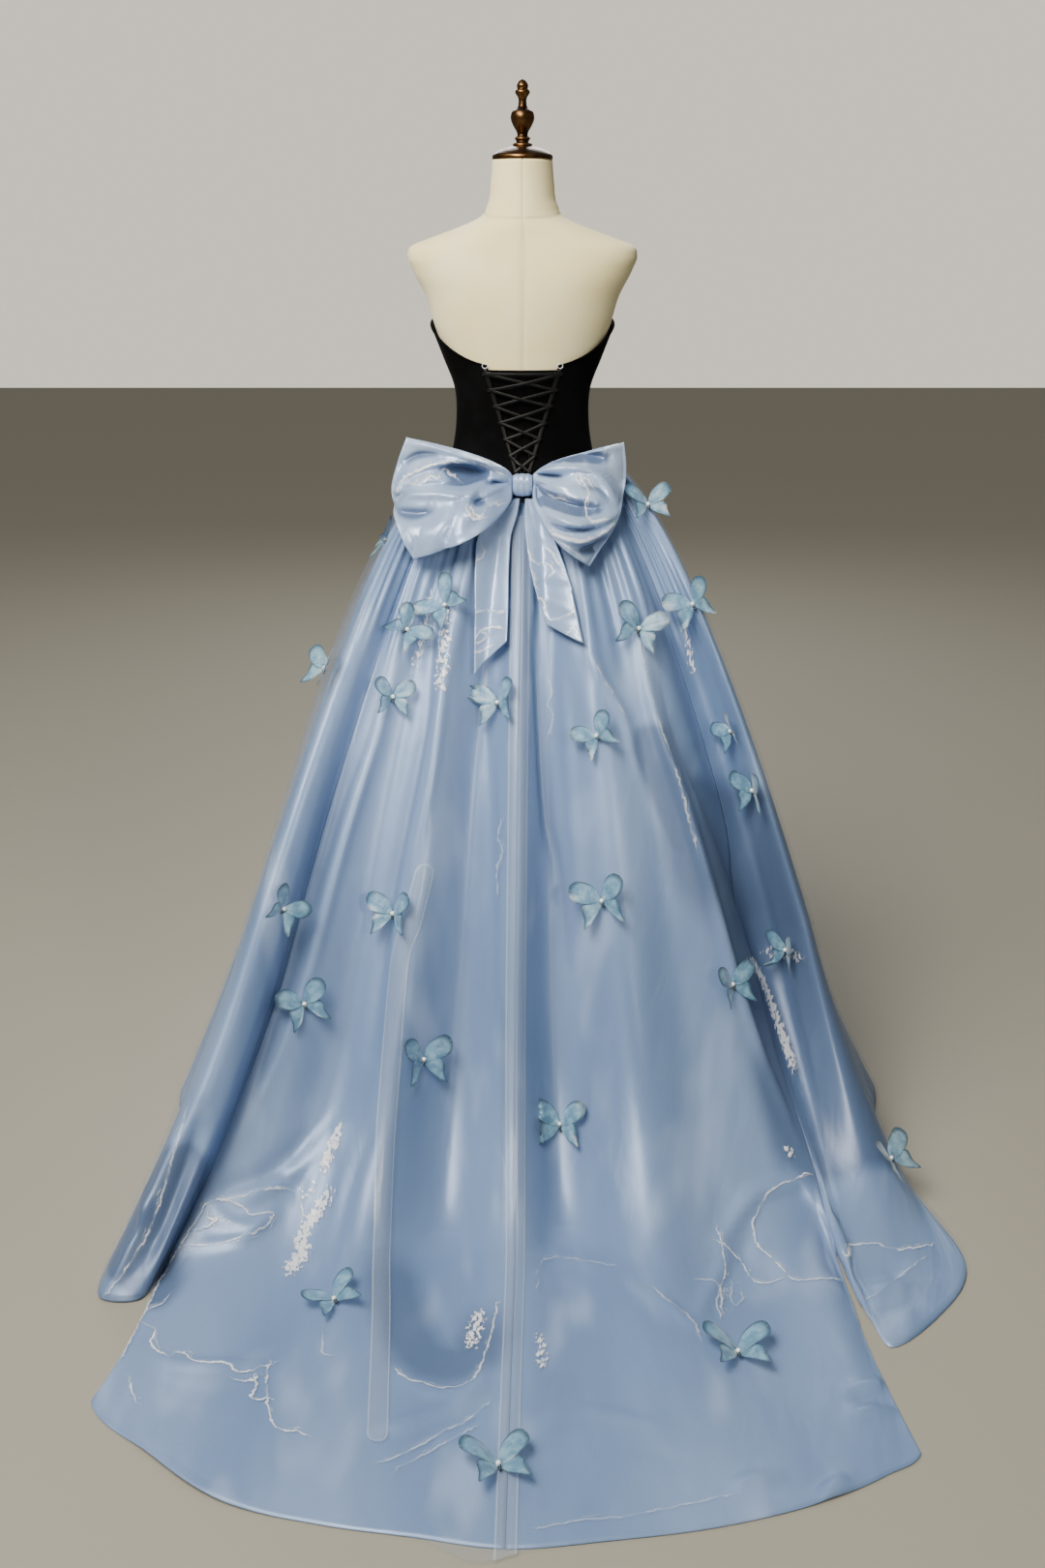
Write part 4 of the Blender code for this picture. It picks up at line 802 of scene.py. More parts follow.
train = trainGrid()
shift = train[0] - slopeGrid[-1, trainColumns]
below = np.clip((belowKnee - 0.4) / 0.6, 0, 1) ** 2.634
slopeGrid[-len(belowKnee) :, trainColumns] += below[:, None, None] * shift
wholeBack = np.concatenate([slopeGrid[:, trainColumns], train[1:]])
# soften the turn where the slope meets the floor, less towards the train's edges
nearTurn = bell(np.arange(1, len(wholeBack) - 1) - slopeRows + 1, 9.0)[:, None, None]
for _ in range(60):
    middle = (wholeBack[:-2] + wholeBack[2:]) / 2 - wholeBack[1:-1]
    wholeBack[1:-1] += middle * 0.5 * nearTurn * inside[None, :, None]
slopeGrid[:, trainColumns] = wholeBack[:slopeRows]
drop, dropBack = lengthsAlong(slopeGrid, 0), lengthsAlong(wholeBack, 0)
print("skirt laid out,", slopeGrid.shape, wholeBack.shape)


def onGrid(fold, down):
    # a place on the skirt: so many folds round, so far down the cloth from the seam
    column = np.interp(fold % len(foldNames), np.arange(len(starts)), starts)
    first = int(math.floor(column))
    places = []
    for near in (first % columnsInAll, (first + 1) % columnsInAll):
        slope, distances = slopeGrid[:, near], drop[:, near]
        spot = np.flatnonzero(trainColumns == near)
        if len(spot):
            slope, distances = wholeBack[:, spot[0]], dropBack[:, spot[0]]
        places.append(np.array([np.interp(down, distances, slope[:, k]) for k in range(3)]))
    return places[0] + (places[1] - places[0]) * (column - first)


def smoothLine(pairs, samples):
    return smoothTable(
        np.column_stack([np.arange(len(pairs)), pairs]), np.linspace(0, len(pairs) - 1, samples)
    )


def onSkirt(numbers, samples=0):
    # a line over the skirt through its places, smooth where it has samples
    pairs = np.reshape(numbers, (-1, 2)) / (100, 1000)
    if samples:
        pairs = smoothLine(pairs, samples)
    return np.array([onGrid(fold, down) for fold, down in pairs])


def distanceTo(points, line, normals=None):
    # each point's distance to a line of short steps, and how far along it is, 0 to 1, and on which side
    best = np.full(len(points), 1e9)
    along = np.zeros(len(points))
    side = np.ones(len(points))
    for i, (a, b) in enumerate(zip(line[:-1], line[1:])):
        way = b - a
        t = np.clip((points - a) @ way / max(float(way @ way), 1e-12), 0, 1)
        gap = np.linalg.norm(points - a - t[:, None] * way, axis=1)
        nearer = gap < best
        best[nearer] = gap[nearer]
        along[nearer] = (i + t[nearer]) / (len(line) - 1)
        if normals is not None:
            away = points[nearer] - a - t[nearer][:, None] * way
            side[nearer] = np.sign((np.cross(way, away) * normals[nearer]).sum(axis=1) + 1e-12)
    return best, along, side


def closeTo(points, line, reach):
    # the points that may lie within reach of a line
    low, high = line.min(axis=0) - reach, line.max(axis=0) + reach
    return np.flatnonzero(((points > low) & (points < high)).all(axis=1))


# In the tables of lines heights and widths are in millimetres. A place on the skirt is two numbers,
# hundredths of a fold round and millimetres down, and a place on the bow is x and z in millimetres.
creases = {
    "gather": 0.0022,
    "gatherDrop": 0.42,
    "paintedShadeDepth": 0.03,
    # soft ridges (+) and troughs (-) of the satin: height, width, places
    "satin": (
        # long folds down the back, left to right
        (-10, 14, (-404, 342, -408, 505, -453, 618, -475, 804, -497, 1021, -480, 1218)),
        (9, 12, (-375, 331, -375, 495, -398, 706, -409, 884, -442, 1102)),
        (-14, 13, (-283, 287, -253, 414, -253, 539, -262, 755, -245, 980)),
        (9, 10, (-220, 216, -208, 378, -203, 533, -225, 691)),
        (-5, 12, (-103, 338, -64, 521, -52, 702, -40, 943)),
        (-10, 10, (53, 235, 75, 366, 92, 544, 115, 648, 127, 803)),
        (5, 12, (136, 283, 142, 443, 146, 631, 156, 817)),
        (5, 10, (202, 332, 238, 389, 277, 452, 290, 546)),
        (13, 11, (354, 311, 353, 473, 370, 591, 391, 777, 419, 1057, 464, 1194)),
        (-24, 24, (398, 323, 402, 488, 441, 605, 496, 798, 536, 924, 553, 1097, 608, 1244)),
        # the train, left and right: streaks, fans from its edges, a lightning line, a swag and
        # ripples at the hem
        (8, 18, (-265, 1084, -275, 1127, -297, 1163, -304, 1259, -302, 1377)),
        (-6, 14, (-219, 1075, -229, 1129, -236, 1192, -236, 1287, -231, 1385)),
        (7, 10, (-476, 1282, -426, 1302, -385, 1293, -358, 1264)),
        (-7, 12, (-464, 1266, -420, 1237, -364, 1207, -309, 1224)),
        (6, 10, (-463, 1347, -424, 1335, -386, 1309, -358, 1264)),
        (-9, 16, (-169, 1647, -138, 1654, -112, 1648, -64, 1593, -20, 1523)),
        (8, 14, (-166, 1619, -136, 1623, -98, 1610, -54, 1555, -25, 1488)),
        (6, 12, (-137, 1521, -113, 1549, -84, 1557, -43, 1514, -25, 1356)),
        (10, 12, (430, 1242, 365, 1235, 335, 1234, 303, 1263, 274, 1296)),
        (-10, 14, (481, 1277, 486, 1325, 425, 1362, 420, 1441)),
        (10, 12, (430, 1242, 470, 1308, 536, 1396, 552, 1456)),
        (-7, 12, (330, 1273, 309, 1309, 291, 1358, 269, 1402)),
        (6, 12, (282, 1277, 281, 1316, 252, 1368, 220, 1436)),
        (5, 10, (191, 1356, 207, 1399, 224, 1436)),
        (4, 16, (41, 1255, 82, 1266, 118, 1286, 148, 1301)),
        (8, 12, (552, 1438, 698, 1427, 768, 1420, 820, 1432, 858, 1450)),
        (-8, 12, (602, 1489, 736, 1471, 786, 1477, 836, 1486)),
        (6, 10, (681, 1534, 753, 1514, 808, 1511)),
        (-6, 10, (650, 1583, 736, 1557, 781, 1546)),
        (6, 12, (-474, 1553, -426, 1580, -386, 1580, -341, 1572, -287, 1556)),
        (-6, 12, (-452, 1611, -398, 1626, -347, 1626, -297, 1618)),
        (5, 12, (-426, 1723, -382, 1750, -315, 1796, -254, 1792)),
        (6, 12, (215, 1727, 231, 1721, 252, 1719)),
        (-6, 10, (245, 1751, 258, 1736, 270, 1732)),
        (6, 10, (274, 1772, 287, 1759, 309, 1753)),
        (5, 12, (40, 1592, 91, 1601, 130, 1613, 171, 1619)),
        (-5, 14, (83, 1680, 141, 1673, 191, 1677)),
        (8, 14, (-458, 1276, -404, 1246, -348, 1200, -308, 1135, -275, 1089)),
        (-7, 16, (-414, 1224, -358, 1176, -325, 1119)),
        (-20, 18, (-659, 1177, -641, 1248, -636, 1337, -646, 1420)),
        (7, 10, (-744, 1193, -718, 1266, -697, 1337, -686, 1409, -691, 1462)),
        (8, 10, (383, 1649, 447, 1666, 480, 1684)),
        (-10, 9, (386, 1669, 425, 1687, 483, 1714)),
        (7, 10, (369, 1693, 407, 1702, 487, 1727)),
        (-10, 12, (259, 1761, 280, 1758, 302, 1755, 320, 1748)),
        (8, 12, (242, 1740, 258, 1736, 270, 1732)),
        (8, 12, (293, 1791, 317, 1784, 342, 1783)),
        (8, 12, (692, 1533, 759, 1494, 830, 1461)),
        (-8, 10, (612, 1562, 736, 1540, 797, 1518)),
        (6, 8, (443, 1549, 713, 1575, 775, 1551)),
        # the foot of the left side
        (5, 14, (-790, 1300, -720, 1330, -630, 1340)),
        (-5, 14, (-770, 1350, -690, 1370, -610, 1365)),
        # sides and front
        (-7, 18, (990, 160, 1030, 450, 1010, 800, 1040, 1100)),
        (6, 14, (1120, 240, 1100, 560, 1130, 900)),
        (-6, 16, (1370, 120, 1420, 420, 1400, 780, 1430, 1080)),
        (6, 13, (1560, 180, 1530, 500, 1570, 830)),
        (-5, 14, (1710, 260, 1760, 560, 1730, 960)),
        (7, 14, (1880, 140, 1910, 400, 1880, 760, 1920, 1050)),
        (-6, 16, (2160, 200, 2120, 520, 2170, 880)),
        (6, 13, (2340, 150, 2300, 470, 2330, 860, 2310, 1060)),
        (-7, 18, (2620, 180, 2660, 500, 2630, 850, 2670, 1130)),
        (5, 12, (2790, 260, 2830, 520, 2800, 800)),
        (5, 16, (1440, 1010, 1560, 1060, 1700, 1030)),
        (5, 16, (1980, 1060, 2110, 1020, 2240, 1070)),
    ),
    # painted shade, darker, in the hollows of the folds: share, width, places
    "paintedShades": (
        (2.6, 100, (420, 584, 454, 698, 487, 834, 531, 960, 650, 1069, 730, 1149, 760, 1233, 780, 1314)),
        (1.9, 35, (320, 461, 359, 600, 381, 718)),
        (2.2, 60, (-641, 1218, -647, 1310, -649, 1399, -664, 1453)),
        (0.7, 12, (-24, 792, -19, 1016, -19, 1252)),
        (1.0, 45, (-160, 1223, -147, 1368, -107, 1493, -47, 1461, -35, 1313)),
        (0.6, 50, (1290, 500, 1320, 800, 1310, 1050)),
        (0.6, 45, (2070, 350, 2040, 750, 2060, 1000)),
        (0.5, 40, (2540, 450, 2520, 800, 2550, 1050)),
    ),
    # the same for the organza alone, which only rises: where it stands off in folds of its own
    "organza": (
        (7, 10, (-191, 684, -204, 762, -220, 842, -198, 1059, -169, 1285, -151, 1634)),
        (6, 8, (-14, 238, -3, 490, -2, 793, -2, 1091, 2, 1449, -3, 1652)),
        (5, 8, (-241, 183, -215, 251, -213, 395)),
        (5, 9, (1260, 200, 1220, 620, 1250, 1000)),
        (5, 9, (2040, 240, 2080, 650, 2050, 1020)),
    ),
}


def alongLines(grid, table, reach):
    # for each line its first number and the points near it: which, widths away, share along it
    points = grid.reshape(-1, 3)
    for first, width, numbers in table:
        line = onSkirt(numbers, 14)
        near = closeTo(points, line, reach * width / 1000)
        gap, along, _ = distanceTo(points[near], line)
        yield first, near, gap * 1000 / width, along


def creaseField(grid, table):
    # how far the ridges and troughs raise each point of a grid
    field = np.zeros(grid.size // 3)
    for height, near, gap, along in alongLines(grid, table, 3):
        ends = np.sin(math.pi * np.clip(along, 0.02, 0.98)) ** 0.6
        field[near] += height / 1000 * bell(gap, 1) * ends
    return field.reshape(grid.shape[:-1])


def streakField(grid, table):
    # the strength of the strongest streak at each point, fading at its sides and ends
    field = np.zeros(grid.size // 3)
    for strength, near, gap, along in alongLines(grid, table, 2):
        ends = np.clip(np.minimum(along, 1 - along) * 6, 0, 1)
        field[near] = np.maximum(field[near], strength * np.clip(1.4 - gap, 0, 1) * ends)
    return field.reshape(grid.shape[:-1])


# small gathers where the skirt is drawn into the waist seam
foldAll = np.broadcast_to(foldOfColumn, slopeGrid.shape[:2])
gather = creases["gather"] * np.sin(2 * math.pi * foldAll * 2.0 + 1.3 * np.sin(foldAll * 1.7))
gather *= np.sin(math.pi * np.clip(drop / creases["gatherDrop"], 0, 1)) ** 1.2
slopeNormals = normalsOf(slopeGrid, closed=True)
backNormals = normalsOf(wholeBack)
backNormals[:slopeRows, [0, -1]] = slopeNormals[:, trainColumns[[0, -1]]]
satinSlope = creaseField(slopeGrid, creases["satin"]) + gather
satinBackField = creaseField(wholeBack, creases["satin"])
satinBackField[:slopeRows] += gather[:, trainColumns]
satinBackField[:slopeRows, [0, -1]] = satinSlope[:, trainColumns[[0, -1]]]
satinGrid = slopeGrid + slopeNormals * satinSlope[..., None]
satinBack = wholeBack + backNormals * satinBackField[..., None]
for grid in (satinGrid, satinBack):
    grid[..., 2] = np.maximum(grid[..., 2], skirt["floorLift"])
# metres round from the centre back, for the cloth's map
stepRound = np.linalg.norm(np.roll(slopeGrid, -1, axis=1) - slopeGrid, axis=2)
toRight = lengthsAlong(slopeGrid, 1)
centreFront = foldNames.index("centreFront")
roundFromBack = np.where(foldAll <= centreFront, toRight, toRight - stepRound.sum(axis=1, keepdims=True))
roundFromFront = toRight - toRight[:, [starts[centreFront]]]
middleColumn = int(np.flatnonzero(trainColumns == 0)[0])
backRound = lengthsAlong(wholeBack, 1)
backRound -= backRound[:, [middleColumn]]


def partSeams(grid):
    # draws a panel's two edges in, so that it stands clear of its neighbours
    grid = grid.copy()
    for edge, inner in ((0, 1), (-1, -2)):
        step = grid[:, inner] - grid[:, edge]
        length = np.linalg.norm(step, axis=1, keepdims=True)
        grid[:, edge] += step / length * np.minimum(skirt["seamGap"] / 2, length / 3)
    return grid


# how deep each place lies in its fold, below the gown's broad form, with the painted shades added: it paints
# shade into the satin's colour
broadGrid = slopeGrid
for _ in range(80):
    broadGrid = (broadGrid + (np.roll(broadGrid, 1, axis=1) + np.roll(broadGrid, -1, axis=1)) / 2) / 2
broad = normalsOf(broadGrid, closed=True)
paintedShadeAll = ((broadGrid - slopeGrid) * broad).sum(axis=2) - satinSlope
paintedShadeBack = np.concatenate([paintedShadeAll[:, trainColumns], -satinBackField[slopeRows:]])
paintedShadeAll += creases["paintedShadeDepth"] * streakField(slopeGrid, creases["paintedShades"])
paintedShadeBack += creases["paintedShadeDepth"] * streakField(wholeBack, creases["paintedShades"])


def satinPanel(name, node, grid, *numbers):
    # numbers: metres round, metres down and depth in the fold at each point, which paints shade into the
    # colour
    uv, values = np.stack(numbers[:2], axis=-1), {"depth": numbers[2]}
    faces = gridFaces(*grid.shape[:2])
    piece = makePiece(name, partSeams(grid), faces, satin, [node], uv=uv, values=values)
    solidify(piece, skirt["satinWall"])


for name, node, first, last, roundAt in (
    ("satinSideRight", "skirt_side_right", "trainEdgeRight", "valleyRight3", roundFromBack),
    ("satinFront", "skirt_front", "valleyRight3", "valleyLeft3", roundFromFront),
    ("satinSideLeft", "skirt_side_left", "valleyLeft3", "trainEdgeLeft", roundFromBack),
):
    columns = columnsBetween(first, last)
    satinPanel(name, node, *(made[:, columns] for made in (satinGrid, roundAt, drop, paintedShadeAll)))
for name, node, columns in (
    ("satinBackLeft", "skirt_back_left", slice(0, middleColumn + 1)),
    ("satinBackRight", "skirt_back_right", slice(middleColumn, None)),
):
    satinPanel(name, node, *(made[:, columns] for made in (satinBack, backRound, dropBack, paintedShadeBack)))
print("satin skirt made")

overskirt = {
    "lift": 0.0045,
    "billow": 0.011,
    "billowZ": 0.8,
    "billowDepth": 0.2,
    "overhang": 0.024,
    "tailShift": -0.06,
    "tailWidth": 0.07,
    "hemLift": 0.005,
    "clearance": 0.0018,
    "trainLift": 0.0035,
    "doubledRise": 0.0012,
    # lines of doubled cloth: places
    "foldLines": (
        (0, 60, 0, 1850),
        (-191, 684, -204, 763, -217, 841, -198, 1063, -170, 1286, -150, 1636),
    ),
    # streaks of crushed cloth with painted glint flakes: strength, width, places
    "glints": (
        (1.0, 10, (-270, 1088, -274, 1110, -280, 1138, -286, 1162, -286, 1181)),
        (1.0, 13, (
            -264, 1180, -269, 1209, -280, 1234, -291, 1266, -298, 1293, -287, 1313, -297, 1335, -301,
            1355, -302, 1377,
        )),
        (0.8, 8, (-324, 1225, -308, 1214, -292, 1195)),
        (1.0, 12, (437, 882, 474, 922, 490, 984, 509, 1054, 542, 1121)),
        (0.7, 10, (474, 890, 680, 922, 786, 947)),
        (0.8, 7, (403, 1184, 414, 1208)),
        (0.7, 10, (-259, 216, -230, 283, -214, 362, -213, 411)),
        (0.6, 8, (-330, 227, -314, 324, -320, 391)),
        (0.7, 8, (38, 1412, 44, 1456, 41, 1492)),
        (0.8, 12, (-42, 1358, -49, 1414, -54, 1459)),
        (0.6, 10, (652, 343, 613, 388, 547, 430)),
        (0.8, 12, (1460, 500, 1480, 620, 1470, 740)),
        (0.8, 10, (2240, 700, 2230, 820, 2250, 900)),
        (0.7, 10, (-920, 780, -940, 880, -930, 960)),
    ),
    # jagged crease lines, painted near white as glints: which of three layers, strength, places
    "creaseGlints": (
        (0, 1.0, (
            -475, 1300, -475, 1285, -458, 1276, -435, 1267, -419, 1258, -404, 1246, -387, 1238, -369,
            1229, -346, 1223, -330, 1223, -319, 1229, -310, 1242, -303, 1256,
        )),
        (1, 0.8, (
            -458, 1276, -431, 1269, -415, 1273, -403, 1277, -397, 1282, -375, 1272, -358, 1263, -358,
            1275, -365, 1292, -381, 1308, -398, 1322, -416, 1333, -431, 1341, -451, 1346, -465, 1349,
        )),
        (2, 0.9, (-463, 1304, -443, 1301, -426, 1301, -447, 1310, -458, 1319, -464, 1325)),
        (0, 1.0, (
            -475, 1519, -459, 1524, -454, 1538, -457, 1549, -445, 1563, -431, 1571, -419, 1574, -418,
            1562, -403, 1561, -392, 1576, -380, 1580, -363, 1578, -352, 1573, -341, 1573, -326, 1583,
            -315, 1583, -305, 1575, -298, 1564, -288, 1557,
        )),
        (1, 0.9, (
            -288, 1557, -286, 1584, -280, 1609, -275, 1630, -269, 1645, -259, 1658, -248, 1655, -236,
            1646, -226, 1649,
        )),
        (2, 1.0, (-320, 1598, -308, 1599, -303, 1585, -293, 1600, -299, 1620, -293, 1628, -280, 1618)),
        (0, 0.9, (-458, 1625, -452, 1637, -446, 1648, -437, 1657)),
        (1, 0.8, (-481, 1481, -468, 1471, -465, 1460)),
        (2, 0.6, (-230, 1456, -227, 1479, -226, 1498, -215, 1497)),
        (2, 0.7, (-492, 1592, -498, 1541, -494, 1479, -492, 1422, -485, 1374, -481, 1334, -475, 1298)),
        (0, 0.8, (
            -137, 1521, -131, 1532, -119, 1546, -104, 1548, -92, 1556, -80, 1551, -62, 1534, -44, 1511,
            -35, 1468, -27, 1405, -23, 1352,
        )),
        (1, 0.6, (-136, 1685, -104, 1665, -75, 1623, -53, 1594, -31, 1549)),
        (2, 0.5, (-119, 1697, -92, 1671, -68, 1634, -47, 1602)),
        (0, 0.9, (
            430, 1242, 381, 1236, 359, 1235, 347, 1243, 335, 1259, 325, 1272, 324, 1291, 323, 1311, 329,
            1325, 336, 1346, 341, 1372, 346, 1398, 354, 1411, 374, 1424, 420, 1441,
        )),
        (1, 0.9, (281, 1267, 281, 1281, 281, 1299, 279, 1324, 276, 1343, 265, 1369, 259, 1409)),
        (2, 0.9, (280, 1288, 287, 1296, 296, 1317, 302, 1333, 304, 1360, 310, 1381, 324, 1392, 335, 1394)),
        (0, 0.7, (246, 1344, 256, 1348, 265, 1369, 254, 1396, 254, 1428)),
        (2, 0.6, (185, 1340, 192, 1356, 198, 1377, 208, 1394, 218, 1417, 224, 1436, 224, 1456)),
        (0, 0.5, (290, 1370, 288, 1403, 275, 1417, 273, 1395, 281, 1365)),
        (1, 0.45, (40, 1320, 42, 1278, 55, 1263, 81, 1270, 108, 1283, 124, 1290, 137, 1292, 153, 1298)),
        (0, 0.9, (557, 1449, 565, 1431, 668, 1423, 714, 1420, 758, 1418, 792, 1432, 830, 1436, 858, 1438)),
        (1, 0.6, (681, 1534, 736, 1511, 786, 1477, 831, 1459)),
        (2, 0.5, (36, 1756, 75, 1777, 120, 1784, 165, 1750, 209, 1733)),
        (1, 0.6, (352, 319, 353, 392, 353, 474, 364, 540, 369, 592, 370, 644, 375, 687)),
        (0, 0.5, (202, 332, 220, 363, 237, 390, 258, 420, 276, 451)),
        (1, 0.6, (-681, 1457, -670, 1427, -659, 1372, -669, 1307, -693, 1246, -713, 1189)),
        (2, 0.5, (109, 337, 119, 363, 105, 380, 120, 404, 108, 425)),
        (2, 0.5, (-35, 566, -42, 586, -30, 610, -42, 642, -37, 676)),
        (0, 0.7, (1210, 880, 1225, 905, 1260, 910, 1280, 940, 1310, 935, 1330, 965, 1370, 960, 1390, 940)),
        (1, 0.6, (1260, 910, 1270, 960, 1260, 990, 1290, 1020, 1300, 1060)),
        (0, 0.7, (1760, 290, 1780, 320, 1810, 330, 1820, 370, 1850, 400, 1860, 450, 1850, 490)),
        (2, 0.6, (1620, 980, 1650, 1000, 1690, 990, 1710, 1030, 1760, 1040, 1800, 1020)),
        (1, 0.7, (2450, 970, 2480, 1000, 2530, 1005, 2560, 1040, 2600, 1020, 2640, 1000)),
        (0, 0.6, (2080, 880, 2100, 920, 2140, 930, 2150, 970, 2190, 990)),
        (2, 0.6, (1020, 420, 1035, 460, 1025, 500, 1045, 540, 1040, 590)),
        (1, 0.6, (2820, 520, 2830, 570, 2815, 610, 2840, 650, 2830, 700)),
    ),
}

belowSeam = np.interp(toKnee, (0, 0.03, 0.10), (0, 0.5, 1.0))
belowSeam = np.concatenate([belowSeam, np.ones(len(belowKnee))])[:, None]
leftSide = np.clip(-slopeGrid[..., 0] / 0.25, 0, 1)
facing = np.clip((broad * slopeNormals).sum(axis=2), 0, 1) ** 2
facing = facing * np.clip((foldNames.index("trainEdgeLeft") - foldAll) / 1.6, 0, 1)
level = bell(slopeGrid[..., 2] - overskirt["billowZ"], overskirt["billowDepth"])
billow = broad * (overskirt["billow"] * leftSide * facing * level * belowSeam)[..., None]
lift = overskirt["lift"] * (0.12 + 0.88 * belowSeam) + 0.001
clear = satinSlope + overskirt["clearance"] * (0.3 + 0.7 * belowSeam)
sheerRise = np.maximum(lift + creaseField(slopeGrid, creases["organza"]), clear)
sheerSlope = slopeGrid + slopeNormals * sheerRise[..., None] + billow
sheerSlope[..., 2] = np.maximum(sheerSlope[..., 2], skirt["floorLift"] + overskirt["hemLift"])
# the lift eases into that of the train over the last rows of the slope
toTrain = np.clip((np.arange(len(wholeBack)) - slopeRows + 20) / 20, 0, 1)[:, None]
backLift = np.concatenate([lift, np.full((len(onTrain) - 1, 1), overskirt["trainLift"])])
backLift = backLift * (1 - toTrain) + overskirt["trainLift"] * toTrain
backRise = np.maximum(
    backLift + creaseField(wholeBack, creases["organza"]), satinBackField + overskirt["clearance"]
)
sheerBack = wholeBack + backNormals * backRise[..., None]
sheerBack[:slopeRows] += billow[:, trainColumns]
tail = bell(across - overskirt["tailShift"], overskirt["tailWidth"])
atHem = np.clip((np.concatenate([np.zeros(slopeRows), onTrain[1:]]) - 0.7) / 0.3, 0, 1)[:, None]
sheerBack[..., 1] -= overskirt["overhang"] * (tail + 1 / 6) * atHem
sheerBack[:slopeRows, [0, -1]] = sheerSlope[:, trainColumns[[0, -1]]]
sheerSlope[:, trainColumns] = sheerBack[:slopeRows]


def creaseGlintFields(points, normals, table, toLine=onSkirt):
    # for each layer of painted glint lines the distance to its nearest line, + and - on its sides, and how
    # strong it is
    values = {}
    for layer in range(3):
        signed, strong = np.full(len(points), 0.05), np.zeros(len(points))
        for _, strength, numbers in (row for row in table if row[0] == layer):
            line = toLine(numbers)
            near = closeTo(points, line, 0.04)
            gap, _, side = distanceTo(points[near], line, normals[near])
            closer = gap < np.abs(signed[near])
            signed[near[closer]] = (gap * side)[closer]
            strong[near] = np.maximum(strong[near], strength * np.clip((0.022 - gap) / 0.012, 0, 1))
        values[f"creaseGlint{layer}"], values[f"strength{layer}"] = signed, strong
    return values


def organzaHalf(name, node, first, last):
    columns = columnsBetween(first, last)
    rows = len(wholeBack)
    spots = {column: i for i, column in enumerate(trainColumns)}
    isTrain = np.array([column in spots for column in columns])
    which = [spots[column] for column in columns[isTrain]]

    def joined(slope, back):
        # the sides from one array, and from the other the back with its train
        made = np.full((rows, len(columns), *slope.shape[2:]), np.nan)
        made[:slopeRows] = slope[:, columns]
        made[:, isTrain] = back[:, which]
        return made

    grid = partSeams(joined(sheerSlope, sheerBack))
    base, normals = joined(slopeGrid, wholeBack), joined(slopeNormals, backNormals)
    uv = np.stack([np.abs(joined(roundFromBack, backRound)), joined(drop, dropBack)], axis=-1)
    keep = np.ones((rows - 1, len(columns) - 1), bool)
    keep[slopeRows - 1 :] = (isTrain[1:] & isTrain[:-1])[None]
    faces = gridFaces(rows, len(columns), keep=keep)
    used = np.unique(faces)
    renumber = np.zeros(rows * len(columns), int)
    renumber[used] = np.arange(len(used))
    points, base, normals = (made.reshape(-1, 3)[used] for made in (grid, base, normals))
    lineGap = np.full(len(used), 0.05)
    for numbers in overskirt["foldLines"]:
        lineGap = np.minimum(lineGap, distanceTo(base, onSkirt(numbers, 60))[0])
    values = {"foldLine": lineGap, "glint": streakField(base, overskirt["glints"])}
    values.update(creaseGlintFields(base, normals, overskirt["creaseGlints"]))
    # the doubled cloth stands a little higher
    rise = overskirt["doubledRise"] * np.clip((0.0155 - lineGap) / 0.002, 0, 1)
    points[:, 2] += rise * 0.5
    points[:, 1] -= rise
    uv = uv.reshape(-1, 2)[used]
    makePiece(name, points, renumber[faces], organza, [node], uv=uv, values=values)


organzaHalf("organzaRight", "overskirt_right", "centreBack", "centreFront")
organzaHalf("organzaLeft", "overskirt_left", "centreFront", "centreBack")
print("organza overskirt made")

bodice = {
    "clearance": 0.0038,
    "wall": 0.0025,
    "openingTopZ": 1.231,
    "openingTopHalf": 0.056,
    "openingFootZ": 1.057,
    "openingFootHalf": 0.006,
    "sideSeamTurn": math.radians(95),
    "seamRise": 0.0012,
    "rows": 60,
    "topEdge": (
        (0, 1.231), (27, 1.233), (52, 1.249), (68, 1.266), (90, 1.291), (118, 1.306), (142, 1.314),
        (162, 1.304), (180, 1.288),
    ),
}


def openingHalf(z):
    # half the width of the laced opening at a height
    share = (z - bodice["openingFootZ"]) / (bodice["openingTopZ"] - bodice["openingFootZ"])
    return (
        bodice["openingFootHalf"]
        + (bodice["openingTopHalf"] - bodice["openingFootHalf"]) * np.clip(share, 0, 1)
    )


def turnAt(x, z):
    x, z = np.broadcast_arrays(np.asarray(x, float), np.asarray(z, float))
    halfWidth, _, _, corner = smoothTable(dressForm["sections"], z.ravel()).T.reshape(4, *z.shape)
    return np.sign(x) * np.arcsin(np.clip(np.abs(x) / halfWidth, 0, 1) ** (1 / corner))


def backPlace(x, z, out):
    # a place on the gown's back, x from the centre and so far outside the dress form
    return formPoints(turnAt(x, z), z, out)


def bodicePanel(name, node, side, columns):
    share = np.linspace(0, 1, columns)

    def turnsAt(z):
        seam, opening = bodice["sideSeamTurn"] + 0 * z, turnAt(openingHalf(z), z)
        edges = {"right": (opening, seam), "front": (seam, 2 * math.pi - seam), "left": (-seam, -opening)}
        first, last = edges[side]
        return first + (last - first) * share

    fromBack = np.degrees(np.arccos(np.cos(turnsAt(bodice["openingTopZ"]))))
    high = smoothTable(bodice["topEdge"], fromBack)[:, 0]
    footTurn = turnsAt(skirt["backSeamZ"])
    foot = formPoints(footTurn, seamZ(footTurn))
    seam = slopeGrid[0]
    around = np.arctan2(seam[:, 0], -seam[:, 1])
    low = np.interp(np.arctan2(foot[:, 0], -foot[:, 1]), around, seam[:, 2], period=2 * math.pi)
    z = high + (low + bodice["seamRise"] - high) * np.linspace(0, 1, bodice["rows"])[:, None]
    outer = partSeams(formPoints(turnsAt(z), z, bodice["clearance"] + bodice["wall"]))
    piece = makePiece(name, outer, gridFaces(bodice["rows"], columns), velvet, [node])
    solidify(piece, bodice["wall"])
    return outer[0]


